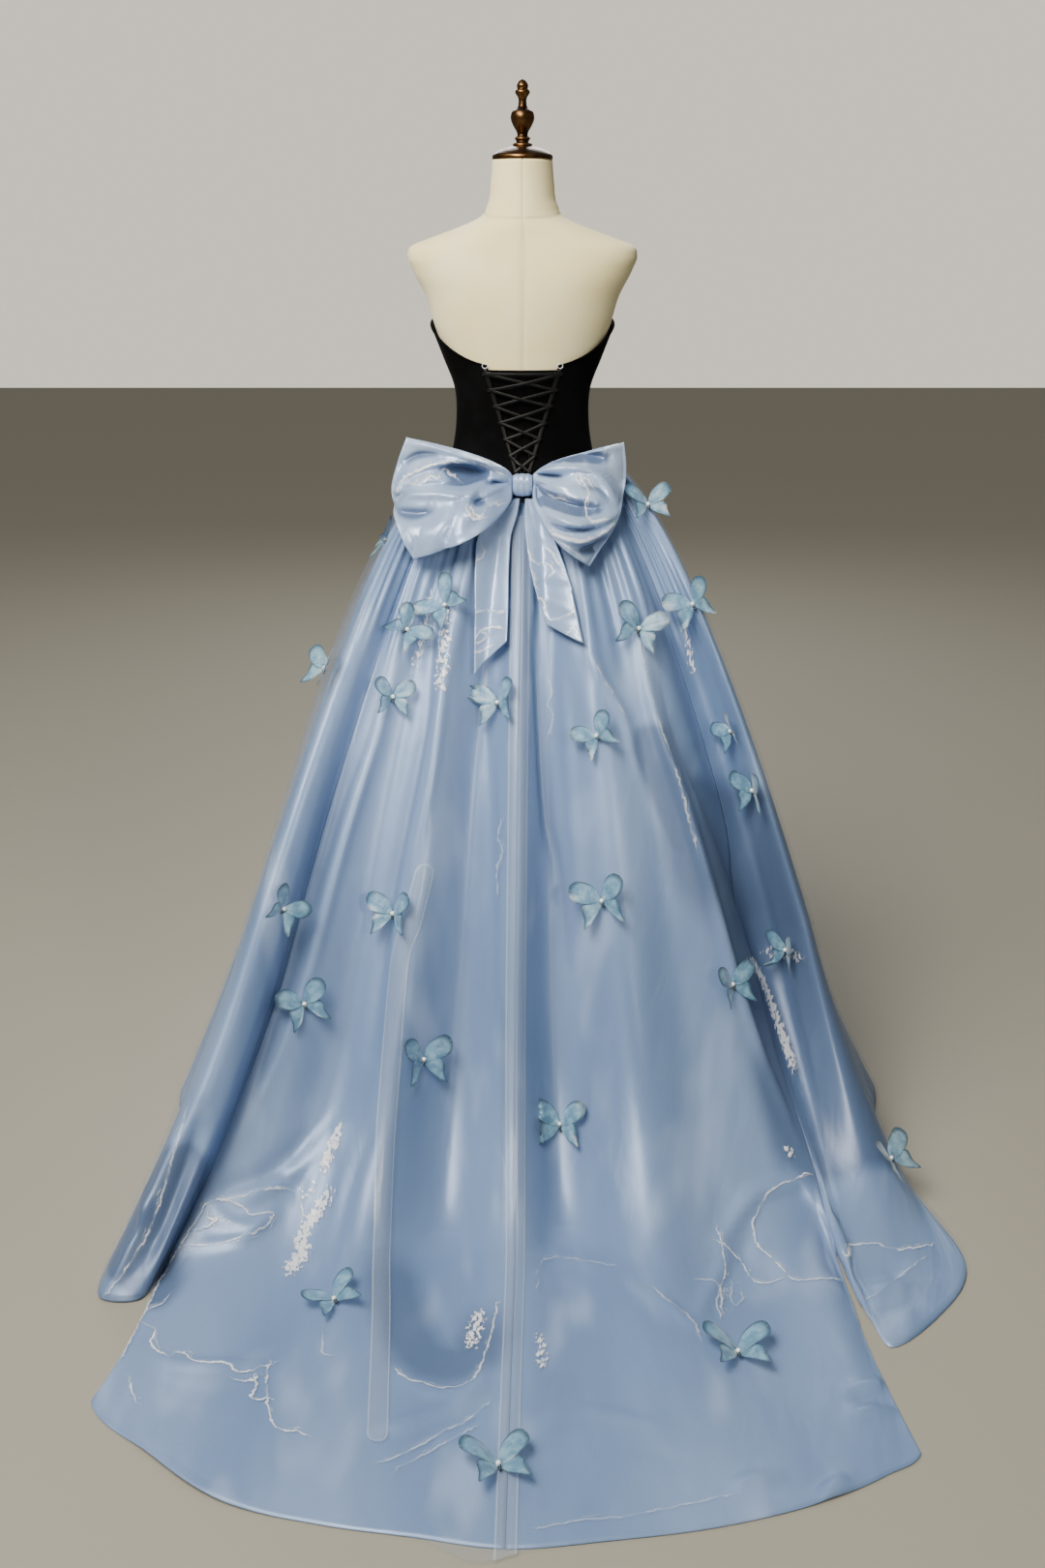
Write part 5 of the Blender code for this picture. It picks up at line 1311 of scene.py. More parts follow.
topEdges = [
    bodicePanel("velvetBackRight", "bodice_back_right", "right", 50),
    bodicePanel("velvetFront", "bodice_front", "front", 130),
    bodicePanel("velvetBackLeft", "bodice_back_left", "left", 50),
]
print("bodice made")

lacing = {
    "rows": 7,
    "topDrop": 0.012,
    "footRise": 0.004,
    "overlap": 0.0045,
    "out": 0.0099,  # from the dress form
    "ribbonWidth": 0.005,
    "ribbonThick": 0.0006,
    "crossRise": 0.0016,
    "tapeOut": 0.0072,
    "tapeInner": 0.0062,
    "tapeOuter": 0.0005,
    "loopReach": 0.005,
    "loopHalf": 0.003,
    "loopThread": 0.0007,
    "panelOut": 0.0019,
    "panelUnderlap": 0.016,
    "panelTopDrop": 0.006,
    "panelFootRise": 0.003,
    "edgePiping": 0.0014,
    "panelGrid": (50, 30),
    "panelWall": 0.0009,
    "tapeGrid": (60, 4),
    "tapeWall": 0.0008,
    "tapePast": 0.007,
    "loopRoot": 0.004,
    "pipingDrop": 0.0006,
    "ringRadius": 0.0042,
    "sag": 0.0012,
    "cup": 0.0004,
    "crossShare": 0.13,
    "pastEnds": 0.03,
    "steps": 22,
    # a flat ribbon's section: share across and face
    "section": ((-1, 0), (-0.5, 1), (0, 1), (0.5, 1), (1, 0), (0.5, -1), (0, -1), (-0.5, -1)),
}
laceTop, laceFoot = bodice["openingTopZ"] - lacing["topDrop"], bodice["openingFootZ"] + lacing["footRise"]
laceHeights = np.linspace(laceTop, laceFoot, lacing["rows"])


def faceOut(piece):
    # turns the faces of a closed mesh outwards
    work = bmesh.new()
    work.from_mesh(piece.data)
    bmesh.ops.recalc_face_normals(work, faces=work.faces)
    work.to_mesh(piece.data)
    work.free()


def makeLacing():
    half, z = openingHalf(laceHeights) + lacing["overlap"], laceHeights
    legs = [((-half[0], z[0]), (half[0], z[0]), 0)]
    for i in range(lacing["rows"] - 1):
        legs.append(((-half[i], z[i]), (half[i + 1], z[i + 1]), i % 2))
        legs.append(((-half[i + 1], z[i + 1]), (half[i], z[i]), 1 - i % 2))
    at = np.linspace(-lacing["pastEnds"], 1 + lacing["pastEnds"], lacing["steps"])[:, None]
    share, face = np.array(lacing["section"], float).T
    cup = lacing["cup"] * (1 - share**2)
    points, faces = [], []
    for number, (start, end, over) in enumerate(legs):
        start, way = np.array(start), np.array(end) - start
        side = np.array([-way[1], way[0]]) / np.linalg.norm(way)
        rise = (
            lacing["crossRise"] * over * bell(at - 0.5, lacing["crossShare"])
            + lacing["sag"] * (at - 0.5) ** 2
        )
        droop = lacing["sag"] * np.sin(math.pi * np.clip(at, 0, 1)) * math.sin(number * 2.1)
        spots = start + way * at[..., None] + side * (droop + share * lacing["ribbonWidth"] / 2)[..., None]
        out = lacing["out"] + rise + cup + face * lacing["ribbonThick"] / 2
        first = len(points)
        points += backPlace(spots[..., 0], spots[..., 1], out).reshape(-1, 3).tolist()
        faces += (gridFaces(*out.shape, closed=True) + first).tolist()
        ends = np.arange(len(share))
        faces += [(first + ends[::-1]).tolist(), (len(points) - len(share) + ends).tolist()]
    faceOut(makePiece("lacingRibbon", points, faces, ribbon, ["lacing"]))


def cordTree():
    # the rule of piping and thread loops: a round section carried along every line of the mesh
    inputs = {"Geometry": "Geometry", "Radius": "Float", "Sides": "Int", "Finish": "Material"}
    tree, add, given = startTree("roundAlongLines", inputs)
    lines = add("GeometryNodeMeshToCurve", {"Mesh": given["Geometry"]})
    section = {"Resolution": given["Sides"], "Radius": given["Radius"]}
    circle = add("GeometryNodeCurvePrimitiveCircle", section)
    body = {"Curve": lines, "Profile Curve": circle, "Fill Caps": True}
    return endTree(tree, add("GeometryNodeCurveToMesh", body), given["Finish"])


roundAlong = cordTree()


def makeCord(name, lines, radius, sides, finish, closed=False):
    given = {"Radius": radius, "Sides": sides, "Finish": finish}
    runTree(name, linesMesh(name + "Lines", lines, closed), roundAlong, given)


def makeOpening():
    rows, columns = lacing["panelGrid"]
    top, foot = bodice["openingTopZ"] - lacing["panelTopDrop"], skirt["backSeamZ"] + lacing["panelFootRise"]
    z = np.linspace(top, foot, rows)[:, None] + np.zeros((1, columns))
    turn = np.linspace(-1, 1, columns) * turnAt(openingHalf(z) + lacing["panelUnderlap"], z)
    outer = formPoints(turn, z, lacing["panelOut"])
    panel = makePiece("modestyPanel", outer, gridFaces(rows, columns), velvet, ["modesty_panel"])
    solidify(panel, lacing["panelWall"])
    rows, columns = lacing["tapeGrid"]
    z = np.linspace(laceTop + lacing["tapePast"], laceFoot - lacing["tapePast"], rows)[:, None]
    z = z + np.zeros((1, columns))
    turn = turnAt(openingHalf(z) + np.linspace(lacing["tapeInner"], lacing["tapeOuter"], columns), z)
    bend = np.linspace(-math.pi / 2, math.pi / 2, 9)
    for name, side in (("Left", -1), ("Right", 1)):
        outer = formPoints((side * turn)[:, ::-side], z, lacing["tapeOut"] + lacing["tapeWall"])
        node = [f"loop_strip_{name.lower()}"]
        tape = makePiece("loopTape" + name, outer, gridFaces(rows, columns), ribbon, node)
        solidify(tape, lacing["tapeWall"])
        loops = []
        for height in laceHeights:
            edge = float(openingHalf(height))
            inward = edge - lacing["loopReach"] + lacing["loopHalf"] * (1 - np.cos(bend))
            xs = np.concatenate([[edge + lacing["loopRoot"]], inward, [edge + lacing["loopRoot"]]])
            zs = height + lacing["loopHalf"] * np.concatenate([[-1], np.sin(bend), [1]])
            loops.append(backPlace(side * xs, zs, lacing["out"] - 0.0004))
        makeCord("loopEyes" + name, loops, lacing["loopThread"], 8, ribbon)
    # rolled top edges, and a small thread ring at each top corner of the opening
    edges = [line - (0, 0, lacing["pipingDrop"]) for line in topEdges]
    makeCord("topEdgePiping", edges, lacing["edgePiping"], 10, velvet)
    around = np.linspace(0, 2 * math.pi, 20, endpoint=False)
    z = bodice["openingTopZ"] + 0.001 + lacing["ringRadius"] * np.sin(around)
    rings = [
        backPlace(
            side * (bodice["openingTopHalf"] + 0.002) + lacing["ringRadius"] * np.cos(around), z, 0.0078
        )
        for side in (-1, 1)
    ]
    makeCord("hangerRings", rings, lacing["loopThread"], 8, pearl, closed=True)


makeLacing()
makeOpening()
print("lacing made")

backFaces = gridFaces(*sheerBack.shape[:2]) + slopeRows * columnsInAll
sheerTree = BVHTree.FromPolygons(
    np.concatenate([sheerSlope.reshape(-1, 3), sheerBack.reshape(-1, 3)]).tolist(),
    np.concatenate([gridFaces(slopeRows, columnsInAll, closed=True), backFaces]).tolist(),
)

bow = {
    "knotZ": 1.045,
    "knotHalfWidth": 0.016,
    "knotHalfHeight": 0.018,
    "knotHalfDepth": 0.015,
    "knotGap": 0.024,
    "rows": 104,
    "steps": 74,
    "clearance": 0.016,
    "gap": 0.008,
    "rootGap": 0.0014,
    "foldShare": 1.9,
    "rootHalfHeight": 0.0144,
    "flare": 0.62,
    "fullness": 0.03,
    "lip": 0.0045,
    "frontShare": 1.25,
    "backShare": 0.35,
    "wall": 0.0012,
    "edgeRoll": 0.004,
    "ribbonWidth": 0.17,
    "tailGrid": (90, 26),
    "tailCup": 0.0012,
    "tailGather": 0.0035,
    "edges": {  # share of the way down, x and z of the outer edge
        "left": (
            (0.0, -0.19, 1.12), (0.25, -0.206, 1.078), (0.5, -0.215, 1.034), (0.75, -0.2, 0.99),
            (1.0, -0.1745, 0.944),
        ),
        "right": (
            (0.0, 0.166, 1.112), (0.25, 0.17, 1.074), (0.5, 0.166, 1.036), (0.75, 0.146, 0.988),
            (1.0, 0.106, 0.937),
        ),
    },
    # ridges (+) and troughs (-) of the loops: height, width, places
    "folds": {
        "left": (
            (3, 5, (-189, 1112, -142, 1110, -96, 1098, -64, 1086, -33, 1070)),
            (-3, 3.5, (-99, 1091, -63, 1081, -32, 1063)),
            (4.5, 5, (-205, 1038, -195, 1058, -158, 1077, -116, 1088, -78, 1085)),
            (-6, 8, (-197, 1079, -171, 1094, -134, 1098)),
            (-18, 13, (-129, 1074, -101, 1071, -75, 1065, -50, 1058)),
            (6, 7, (-200, 1044, -170, 1057, -145, 1064, -119, 1063)),
            (-5, 5, (-181, 1048, -141, 1052, -101, 1053, -75, 1055)),
            (8, 8.5, (-215, 1034, -181, 1041, -141, 1044, -101, 1042, -67, 1046)),
            (-7, 11, (-208, 1013, -181, 1010, -155, 1012, -132, 1019)),
            (6, 22, (-177, 968, -139, 993, -105, 1016, -84, 1031)),
            (-4, 10, (-108, 981, -77, 1004, -65, 1016)),
            (7, 7, (-30, 1058, -54, 1060, -75, 1052, -87, 1039)),
            (-5, 3, (-55, 1052, -43, 1052, -29, 1050)),
            (5, 5, (-62, 1040, -46, 1044, -28, 1046)),
            (-9, 7, (-82, 1026, -72, 1029, -58, 1030)),
            (4, 2.8, (-89, 1026, -87, 1017, -77, 1007, -66, 1008)),
        ),
        "right": (
            (3, 5, (16, 1080, 35, 1093, 58, 1105, 93, 1112, 160, 1106)),
            (-13, 11, (64, 1088, 97, 1094, 136, 1090)),
            (-4, 3, (17, 1074, 37, 1081, 56, 1082)),
            (6.5, 7, (13, 1068, 47, 1077, 91, 1079, 129, 1064, 154, 1033)),
            (-8, 6, (16, 1063, 41, 1063, 69, 1063)),
            (5, 7, (12, 1056, 50, 1053, 81, 1053)),
            (-4, 7, (90, 1050, 122, 1046, 144, 1026)),
            (-16, 11, (14, 1048, 31, 1033, 56, 1028, 90, 1020, 121, 1018)),
            (8, 6.5, (25, 1020, 54, 1012, 95, 1002, 127, 1002, 150, 1009)),
            (-7, 6, (40, 1000, 80, 992, 121, 993)),
            (8, 5.5, (49, 988, 92, 978, 127, 984, 148, 996)),
            (-8, 10, (86, 962, 114, 964, 137, 974)),
            (5, 4.5, (16, 1040, 19, 1026, 24, 1009)),
            (-5, 4, (22, 1032, 27, 1024, 33, 1015)),
        ),
    },
    # jagged glints painted along the creases: which of three layers, strength, places
    "creaseGlints": {
        "left": (
            (0, 1.0, (
                -205, 1038, -202, 1050, -194, 1060, -174, 1070, -158, 1077, -139, 1084, -118, 1088, -104,
                1086,
            )),
            (1, 1.0, (-160, 1058, -148, 1066, -138, 1063, -127, 1074, -119, 1068, -111, 1063)),
            (
                2,
                1.0,
                (-89, 1026, -88, 1019, -82, 1012, -76, 1007, -66, 1008, -74, 1012, -82, 1021, -87, 1027),
            ),
            (0, 0.7, (-59, 1030, -53, 1024, -45, 1027, -39, 1022, -31, 1023)),
            (1, 0.8, (-96, 1094, -80, 1088, -64, 1081, -47, 1074, -33, 1065)),
            (2, 0.5, (-195, 1050, -187, 1054, -178, 1051, -170, 1057)),
        ),
        "right": (
            (0, 1.0, (
                91, 1070, 97, 1060, 103, 1051, 107, 1041, 102, 1031, 101, 1020, 103, 1010, 111, 1002, 122,
                1004, 135, 1005,
            )),
            (1, 0.9, (44, 1037, 53, 1032, 62, 1034, 74, 1031)),
            (2, 0.7, (54, 1106, 43, 1099, 32, 1091, 20, 1081)),
            (1, 0.8, (49, 988, 71, 983, 92, 978, 109, 980, 127, 984, 147, 995)),
            (2, 0.6, (94, 1056, 86, 1063, 91, 1070, 103, 1064, 112, 1052)),
            (0, 0.6, (58, 977, 73, 969, 86, 958, 98, 946)),
        ),
        "tailLeft": (
            (0, 0.9, (-73, 831, -67, 837, -57, 839, -47, 843, -36, 843)),
            (1, 0.7, (-73, 866, -59, 866, -44, 863, -31, 867)),
            (2, 0.8, (-71, 821, -62, 824, -57, 829, -64, 835)),
            (0, 0.7, (-77, 808, -71, 806, -62, 808, -50, 814)),
            (2, 0.5, (-72, 942, -64, 945, -61, 955, -66, 963)),
        ),
        "tailRight": (
            (
                0,
                1.0,
                (20, 887, 31, 884, 36, 876, 36, 863, 45, 853, 59, 856, 74, 864, 83, 870, 80, 883, 77, 894),
            ),
            (1, 0.9, (38, 956, 50, 949, 56, 937, 62, 927, 70, 917, 81, 902, 90, 891, 97, 877)),
            (2, 0.8, (6, 956, 16, 940, 25, 932, 34, 935, 45, 932, 51, 924, 45, 918)),
            (0, 0.7, (11, 934, 14, 923, 22, 914, 19, 906, 25, 897)),
            (2, 0.7, (74, 840, 80, 846, 86, 842, 83, 835, 91, 830)),
        ),
    },
    "tails": {  # z, x, half width
        "left": (
            (1.024, -0.014, 0.01), (1.005, -0.027, 0.019), (0.975, -0.045, 0.0265),
            (0.94, -0.0485, 0.0268), (0.87, -0.0495, 0.0262), (0.8, -0.051, 0.0255),
        ),
        "right": ((1.024, 0.012, 0.008), (0.985, 0.024, 0.02), (0.94, 0.038, 0.027), (0.835, 0.067, 0.0295)),
    },
    "slants": {"left": 0.026, "right": -0.010},
    "slantLength": 0.07,
    "tailGap": 0.004,
    # creases of the tails: share down, share across at the left and right edge, width, height
    "tailCreases": {
        "left": (
            (0.16, 0.24, 0.035, 0.0022), (0.46, 0.5, 0.05, 0.0008), (0.69, 0.68, 0.014, 0.0022),
            (0.76, 0.8, 0.018, -0.0018), (0.84, 0.8, 0.02, 0.0016), (0.9, 0.88, 0.02, -0.0014),
        ),
        "right": (
            (0.14, 0.2, 0.03, 0.002), (0.24, 0.31, 0.025, -0.0018), (0.36, 0.34, 0.022, 0.002),
            (0.46, 0.52, 0.02, -0.0018), (0.56, 0.58, 0.02, 0.0018), (0.66, 0.64, 0.022, -0.0018),
            (0.76, 0.8, 0.022, 0.002), (0.88, 0.86, 0.03, -0.0014),
        ),
    },
}


def depthMap():
    # how far back the gown reaches, on a grid of x and z, with the least of each small patch
    xs, zs = np.linspace(-0.27, 0.23, 101), np.linspace(0.74, 1.18, 89)
    depth, formOut = np.zeros((len(zs), len(xs))), bodice["clearance"] + 2 * bodice["wall"]
    for i, z in enumerate(zs):
        atForm = float(formPoints(0.0, max(z, skirt["backSeamZ"]), formOut)[1])
        for k, x in enumerate(xs):
            hit = sheerTree.ray_cast((x, -2.0, z), (0, 1, 0))[0]
            depth[i, k] = min(atForm, hit.y if hit is not None and hit.y < 0.1 else atForm)
    for axis in (0, 1):
        depth = np.min([np.roll(depth, k, axis=axis) for k in (-2, -1, 0, 1, 2)], axis=0)
    return xs, zs, depth


mapX, mapZ, mapDepth = depthMap()


def behind(x, z, gap):
    # y of a place that is a gap behind the gown
    x, z = np.broadcast_arrays(np.asarray(x, float), np.asarray(z, float))
    column = np.clip((x - mapX[0]) / (mapX[1] - mapX[0]), 0, len(mapX) - 1.001)
    row = np.clip((z - mapZ[0]) / (mapZ[1] - mapZ[0]), 0, len(mapZ) - 1.001)
    i, k = row.astype(int), column.astype(int)
    u, v = column - k, row - i
    near = mapDepth[i, k] * (1 - u) + mapDepth[i, k + 1] * u
    far = mapDepth[i + 1, k] * (1 - u) + mapDepth[i + 1, k + 1] * u
    return near * (1 - v) + far * v - gap


def onBow(numbers, samples=0):
    # a line over the bow in its front view, in the same way
    pairs = np.reshape(numbers, (-1, 2)) / 1000
    if samples:
        pairs = smoothLine(pairs, samples)
    return np.column_stack([pairs[:, 0], 0 * pairs[:, 0], pairs[:, 1]])


def bowCloth(part, side, grid, uv, creaseGlints, **values):
    # a loop or tail of the bow, with its painted glints found in its front view
    flat = grid.reshape(-1, 3) * (1, 0, 1)
    glints = creaseGlintFields(flat, np.broadcast_to((0.0, -1.0, 0.0), flat.shape), bow["creaseGlints"][creaseGlints], onBow)
    name, node, faces = f"bow{part.title()}{side.title()}", [f"bow_{part}_{side}"], gridFaces(*grid.shape[:2])
    made = makePiece(name, grid, faces, bowSatinPaintedLighter, node, uv=uv, values={**glints, **values})
    solidify(made, bow["wall"])


def foldField(x, z, table):
    flat = np.stack([x, 0 * x, z], axis=-1).reshape(-1, 3)
    field = np.zeros(len(flat))
    for height, width, numbers in table:
        gap, along, _ = distanceTo(flat, onBow(numbers, 16))
        ends = np.sin(math.pi * np.clip(along, 0.03, 0.97)) ** 0.45
        field += height / 1000 * np.exp(-((gap / width * 1000) ** 1.7)) * ends
    return bow["foldShare"] * field.reshape(x.shape)


def bowLoop(side, sign):
    shares = np.sin(math.pi / 2 * np.linspace(0, 1, bow["steps"])) ** 1.15
    down = np.linspace(0, 1, bow["rows"])
    edge = smoothTable(bow["edges"][side], down)
    knotX = sign * (bow["knotHalfWidth"] + bow["rootGap"])
    knotZ = bow["knotZ"] + bow["rootHalfHeight"] * (1 - 2 * down)
    # out along the back of the loop and home along its front
    out = np.concatenate([shares, shares[::-1][1:]])
    isFront = np.arange(len(out)) >= len(shares)
    x = knotX + (edge[:, :1] - knotX) * out
    z = knotZ[:, None] + (edge[:, 1:] - knotZ[:, None]) * out ** bow["flare"]
    swell = bow["fullness"] * np.sin(math.pi * np.minimum(out, 0.97) ** 0.8) + bow["lip"] * (1 - out**12)
    field = foldField(x, z, bow["folds"][side])
    field = field * np.clip(out / 0.06, 0, 1) * np.clip((1 - out) / 0.03, 0, 1)
    lift = np.where(isFront, bow["frontShare"] * swell + field, -bow["backShare"] * swell - 0.3 * field)
    # the top and bottom edges roll over a little
    roll = bow["edgeRoll"] * (np.exp(-down / 0.03) + np.exp(-(1 - down) / 0.03))[:, None]
    y = behind(x, z, bow["clearance"]) - bow["gap"] - lift + np.where(isFront, roll, 0)
    grid, folded = np.stack([x, y, z], axis=-1), np.where(isFront, field, 0)
    if side == "left":
        grid, folded = grid[:, ::-1], folded[:, ::-1]
    around = lengthsAlong(grid, 1)
    uv = np.stack([around, np.broadcast_to(down[:, None] * bow["ribbonWidth"], around.shape)], axis=-1)
    # painted shade: the troughs of the front's folds darken the bow's colour
    bowCloth("loop", side, grid, uv, side, depth=-folded)


def bowKnot():
    half = bow["knotHalfWidth"]
    knotY = float(sum(behind(x, bow["knotZ"], bow["knotGap"]) for x in (-half, half))) / 2
    turns = np.linspace(0, 2 * math.pi, 96, endpoint=False)
    xs = np.linspace(-1, 1, 30)[:, None]
    # three soft pleats run round the knot
    pleat = 1 + 0.035 * np.cos(xs * math.pi * 3.2) * (0.6 + 0.4 * np.cos(turns))
    pleat = pleat * (1.02 - 0.16 * np.abs(xs) ** 3)
    y, z = (np.sign(share) * np.abs(share) ** 0.7 for share in (np.cos(turns), np.sin(turns)))
    y, z = knotY - bow["knotHalfDepth"] * pleat * y, bow["knotZ"] + bow["knotHalfHeight"] * pleat * z
    grid = np.stack([xs * half + 0 * y, y, z], axis=-1)
    ends = [[side * half, knotY, bow["knotZ"]] for side in (-1, 1)]
    uv = np.stack(np.broadcast_arrays(turns * 0.016, xs * 0.016), axis=-1).reshape(-1, 2)
    uv = np.concatenate([uv, [[0, 0], [0, 0]]])
    points = np.concatenate([grid.reshape(-1, 3), ends])
    faceOut(makePiece("bowKnot", points, closedFaces(*y.shape), bowSatinPaintedLighter, ["bow_knot"], uv=uv))


def bowTail(side):
    rows, columns = bow["tailGrid"]
    table = [(-z, x, half) for z, x, half in bow["tails"][side]]
    top, foot = -table[0][0], -table[-1][0]
    zs = np.linspace(top, foot, rows)
    middle = smoothTable(table, -zs)
    share = np.linspace(-1, 1, columns)
    x = middle[:, :1] + middle[:, 1:] * share
    nearFoot = np.clip(1 - (zs - foot) / bow["slantLength"], 0, 1)[:, None]
    z = zs[:, None] + bow["slants"][side] * nearFoot * share
    down = np.linspace(0, 1, rows)[:, None]
    # cupped across, and gathered under the knot
    field = bow["tailCup"] * (1 - np.abs(share) ** 3)
    field = field + bow["tailGather"] * np.exp(-down / 0.14) * np.cos(share * math.pi * 2.5)
    for left, right, width, height in bow["tailCreases"][side]:
        field = field + height * bell(down - left - (right - left) * (share + 1) / 2, width)
    y = behind(x, z, bow["tailGap"]) - np.maximum(field, -0.001) - 0.0006
    for _ in range(6):
        y[1:-1] = (y[:-2] + 2 * y[1:-1] + y[2:]) / 4
        y[:, 1:-1] = (y[:, :-2] + 2 * y[:, 1:-1] + y[:, 2:]) / 4
    grid = np.stack([x, y - bow["wall"] - 0.0003, z], axis=-1)
    uv = np.stack(np.broadcast_arrays(share * 0.026, down * (top - foot)), axis=-1)
    bowCloth("tail", side, grid, uv, f"tail{side.title()}")


bowLoop("left", -1)
bowLoop("right", 1)
bowKnot()
bowTail("left")
bowTail("right")
print("bow made")

butterfly = {
    "upper": (
        (0.015, 0.05), (0.05, 0.2), (0.15, 0.35), (0.32, 0.43), (0.46, 0.37), (0.5, 0.23), (0.43, 0.09),
        (0.28, 0.005), (0.1, -0.02),
    ),
    "lower": (
        (0.015, -0.01), (0.14, 0.03), (0.28, 0.01), (0.335, -0.1), (0.335, -0.25), (0.375, -0.42),
        (0.25, -0.36), (0.13, -0.24), (0.05, -0.11),
    ),
    "around": 36,
    "rings": 7,
    "layerRise": 0.0011,
    "slope": 0.42,
    "lift": 0.0028,
    "cup": 0.035,
    "ripple": 0.016,
    "clearance": 0.0015,
    "reach": 0.03,  # how far out from its middle's plane the cloth may rise under a wing
    "beads": ((0.0, 0.015, 0.0035), (0.0, -0.05, 0.0026), (0.0, -0.09, 0.0021)),  # x and y by width, radius
    "places": (  # fold, drop, degrees anticlockwise, width
        (8.0, 0.16, -20, 0.078), (7.85, 0.345, 5, 0.082), (7.6, 0.66, -15, 0.082),
        (8.7, 1.29, 20, 0.085), (-7.4, 0.475, -10, 0.08), (-8.6, 0.205, 35, 0.07),
        (-3.7, 0.33, -35, 0.074), (-2.3, 0.26, 50, 0.085), (-3.6, 0.44, 10, 0.07),
        (-0.5, 0.375, 8, 0.082), (2.0, 0.47, 25, 0.072), (7.45, 0.555, 10, 0.066),
        (3.6, 0.33, -30, 0.085), (-6.25, 0.85, -20, 0.074), (-4.0, 0.95, 35, 0.082),
        (-2.4, 0.76, 5, 0.08), (1.85, 0.725, 8, 0.09), (-1.6, 0.965, 12, 0.088),
        (1.05, 1.05, -5, 0.084), (3.9, 0.92, 0, 0.08), (7.1, 0.92, -20, 0.074), (-2.2, 1.39, 30, 0.08),
        (2.6, 1.51, 0, 0.095), (-0.1, 1.65, 15, 0.09), (12.3, 0.38, 15, 0.085),
        (15.0, 0.72, -20, 0.088), (17.3, 0.3, 10, 0.08), (19.1, 0.6, -10, 0.086),
        (21.2, 0.4, 30, 0.082), (23.6, 0.7, 5, 0.086),
    ),
}


def onOrganza(fold, down):
    # the same place carried out to the organza
    place = onGrid(fold, down)
    hit = sheerTree.find_nearest(place.tolist(), 0.06)
    return np.array(hit[0]) if hit[0] is not None else place


def closedCurve(points, samples):
    # a smooth closed outline through its points
    points = np.array(points, float)
    at = np.linspace(0, len(points), samples, endpoint=False)
    first = at.astype(int)
    t = (at - first)[:, None]
    p0, p1, p2, p3 = (points[(first + k) % len(points)] for k in (-1, 0, 1, 2))
    bent = (2 * p0 - 5 * p1 + 4 * p2 - p3) * t**2 + (3 * p1 - p0 - 3 * p2 + p3) * t**3
    return 0.5 * (2 * p1 + (p2 - p0) * t + bent)


def beadTree():
    # the rule of sewn beads: a small ball at every point, of its own size
    tree, add, given = startTree(
        "beadsOnPoints", {"Geometry": "Geometry", "Finish": "Material", "Segments": "Int"}
    )
    ball = {"Segments": given["Segments"], "Rings": 8, "Radius": 1.0}
    ball = add("GeometryNodeMeshUVSphere", ball)
    size = add("GeometryNodeInputNamedAttribute", {"Name": "size"}, data_type="FLOAT")
    placed = {"Points": given["Geometry"], "Instance": ball, "Scale": size}
    return endTree(tree, add("GeometryNodeInstanceOnPoints", placed), given["Finish"])


def makeButterfly(number, fold, down, degrees, width):
    # four wings on the organza; returns the places and sizes of its three beads
    centre = onOrganza(fold, down)
    up = onOrganza(fold, down - 0.03) - onOrganza(fold, down + 0.03)
    right = onOrganza(fold + 0.4, down) - onOrganza(fold - 0.4, down)
    outward, up = unit(np.cross(right, up)), unit(up)
    right = np.cross(up, outward)
    turn = math.radians(degrees)
    sideways = right * math.cos(turn) + up * math.sin(turn)
    headward = np.cross(outward, sideways)
    reach = butterfly["reach"]

    def wingPlace(x, y, t, ring, mirror, layer):
        # a place of a wing, x and y by the butterfly's width, t round the wing's edge
        flutter = math.sin(number * 1.7 + mirror)
        cup = butterfly["cup"] * math.sin(math.pi * min(x / 0.5, 1.0)) * (1 + 0.4 * flutter)
        ripple = butterfly["ripple"] * ring**2 * math.sin(2 * math.pi * (3 * t + 0.13 * number))
        rise = butterfly["slope"] * (1 + 0.22 * flutter) * x + cup + ripple
        flat = centre + sideways * mirror * x * width + headward * y * width
        height = butterfly["lift"] + layer + max(rise, 0.0) * width
        hit = sheerTree.ray_cast((flat + outward * reach).tolist(), (-outward).tolist(), 2 * reach)
        if hit[0] is not None:
            height = max(height, reach - hit[3] + butterfly["clearance"] + layer + 0.25 * rise * width)
        return flat + outward * height

    points, faces, uv = [], [], []
    for mirror in (1, -1):
        for wingName, layer in (("lower", 0.0), ("upper", butterfly["layerRise"])):
            outline = closedCurve(butterfly[wingName], butterfly["around"])
            root, first, count = outline[0] * 0.6, len(points), len(outline)
            spots = [(*root, 0.0, 0.0)]
            for ring in np.linspace(0, 1, butterfly["rings"] + 1)[1:] ** 0.85:
                spots += [
                    (*(root + (corner - root) * ring), k / count, ring) for k, corner in enumerate(outline)
                ]
            points += [wingPlace(*spot, mirror, layer) for spot in spots]
            uv += [spot[2:] for spot in spots]
            for k in range(count):
                a, b = first + 1 + k, first + 1 + (k + 1) % count
                faces.append((first, b, a)[::mirror])
                for c, d in ((a + ring * count, b + ring * count) for ring in range(butterfly["rings"] - 1)):
                    faces.append((c, d, d + count, c + count)[::mirror])
    label = f"{number:02}"
    makePiece("butterfly" + label, points, faces, wing, ["butterfly_" + label], uv=uv)
    return [
        (
            *(
                centre
                + sideways * x * width
                + headward * y * width
                + outward * (butterfly["lift"] + size * 0.8)
            ),
            size,
        )
        for x, y, size in butterfly["beads"]
    ]


def makeBeads(name, beads, finish):
    mesh = bpy.data.meshes.new(name)
    mesh.from_pydata([bead[:3] for bead in beads], [], [])
    sizes = mesh.attributes.new("size", "FLOAT", "POINT")
    sizes.data.foreach_set("value", [bead[3] for bead in beads])
    runTree(name, mesh, beadTree(), {"Finish": finish, "Segments": 14})


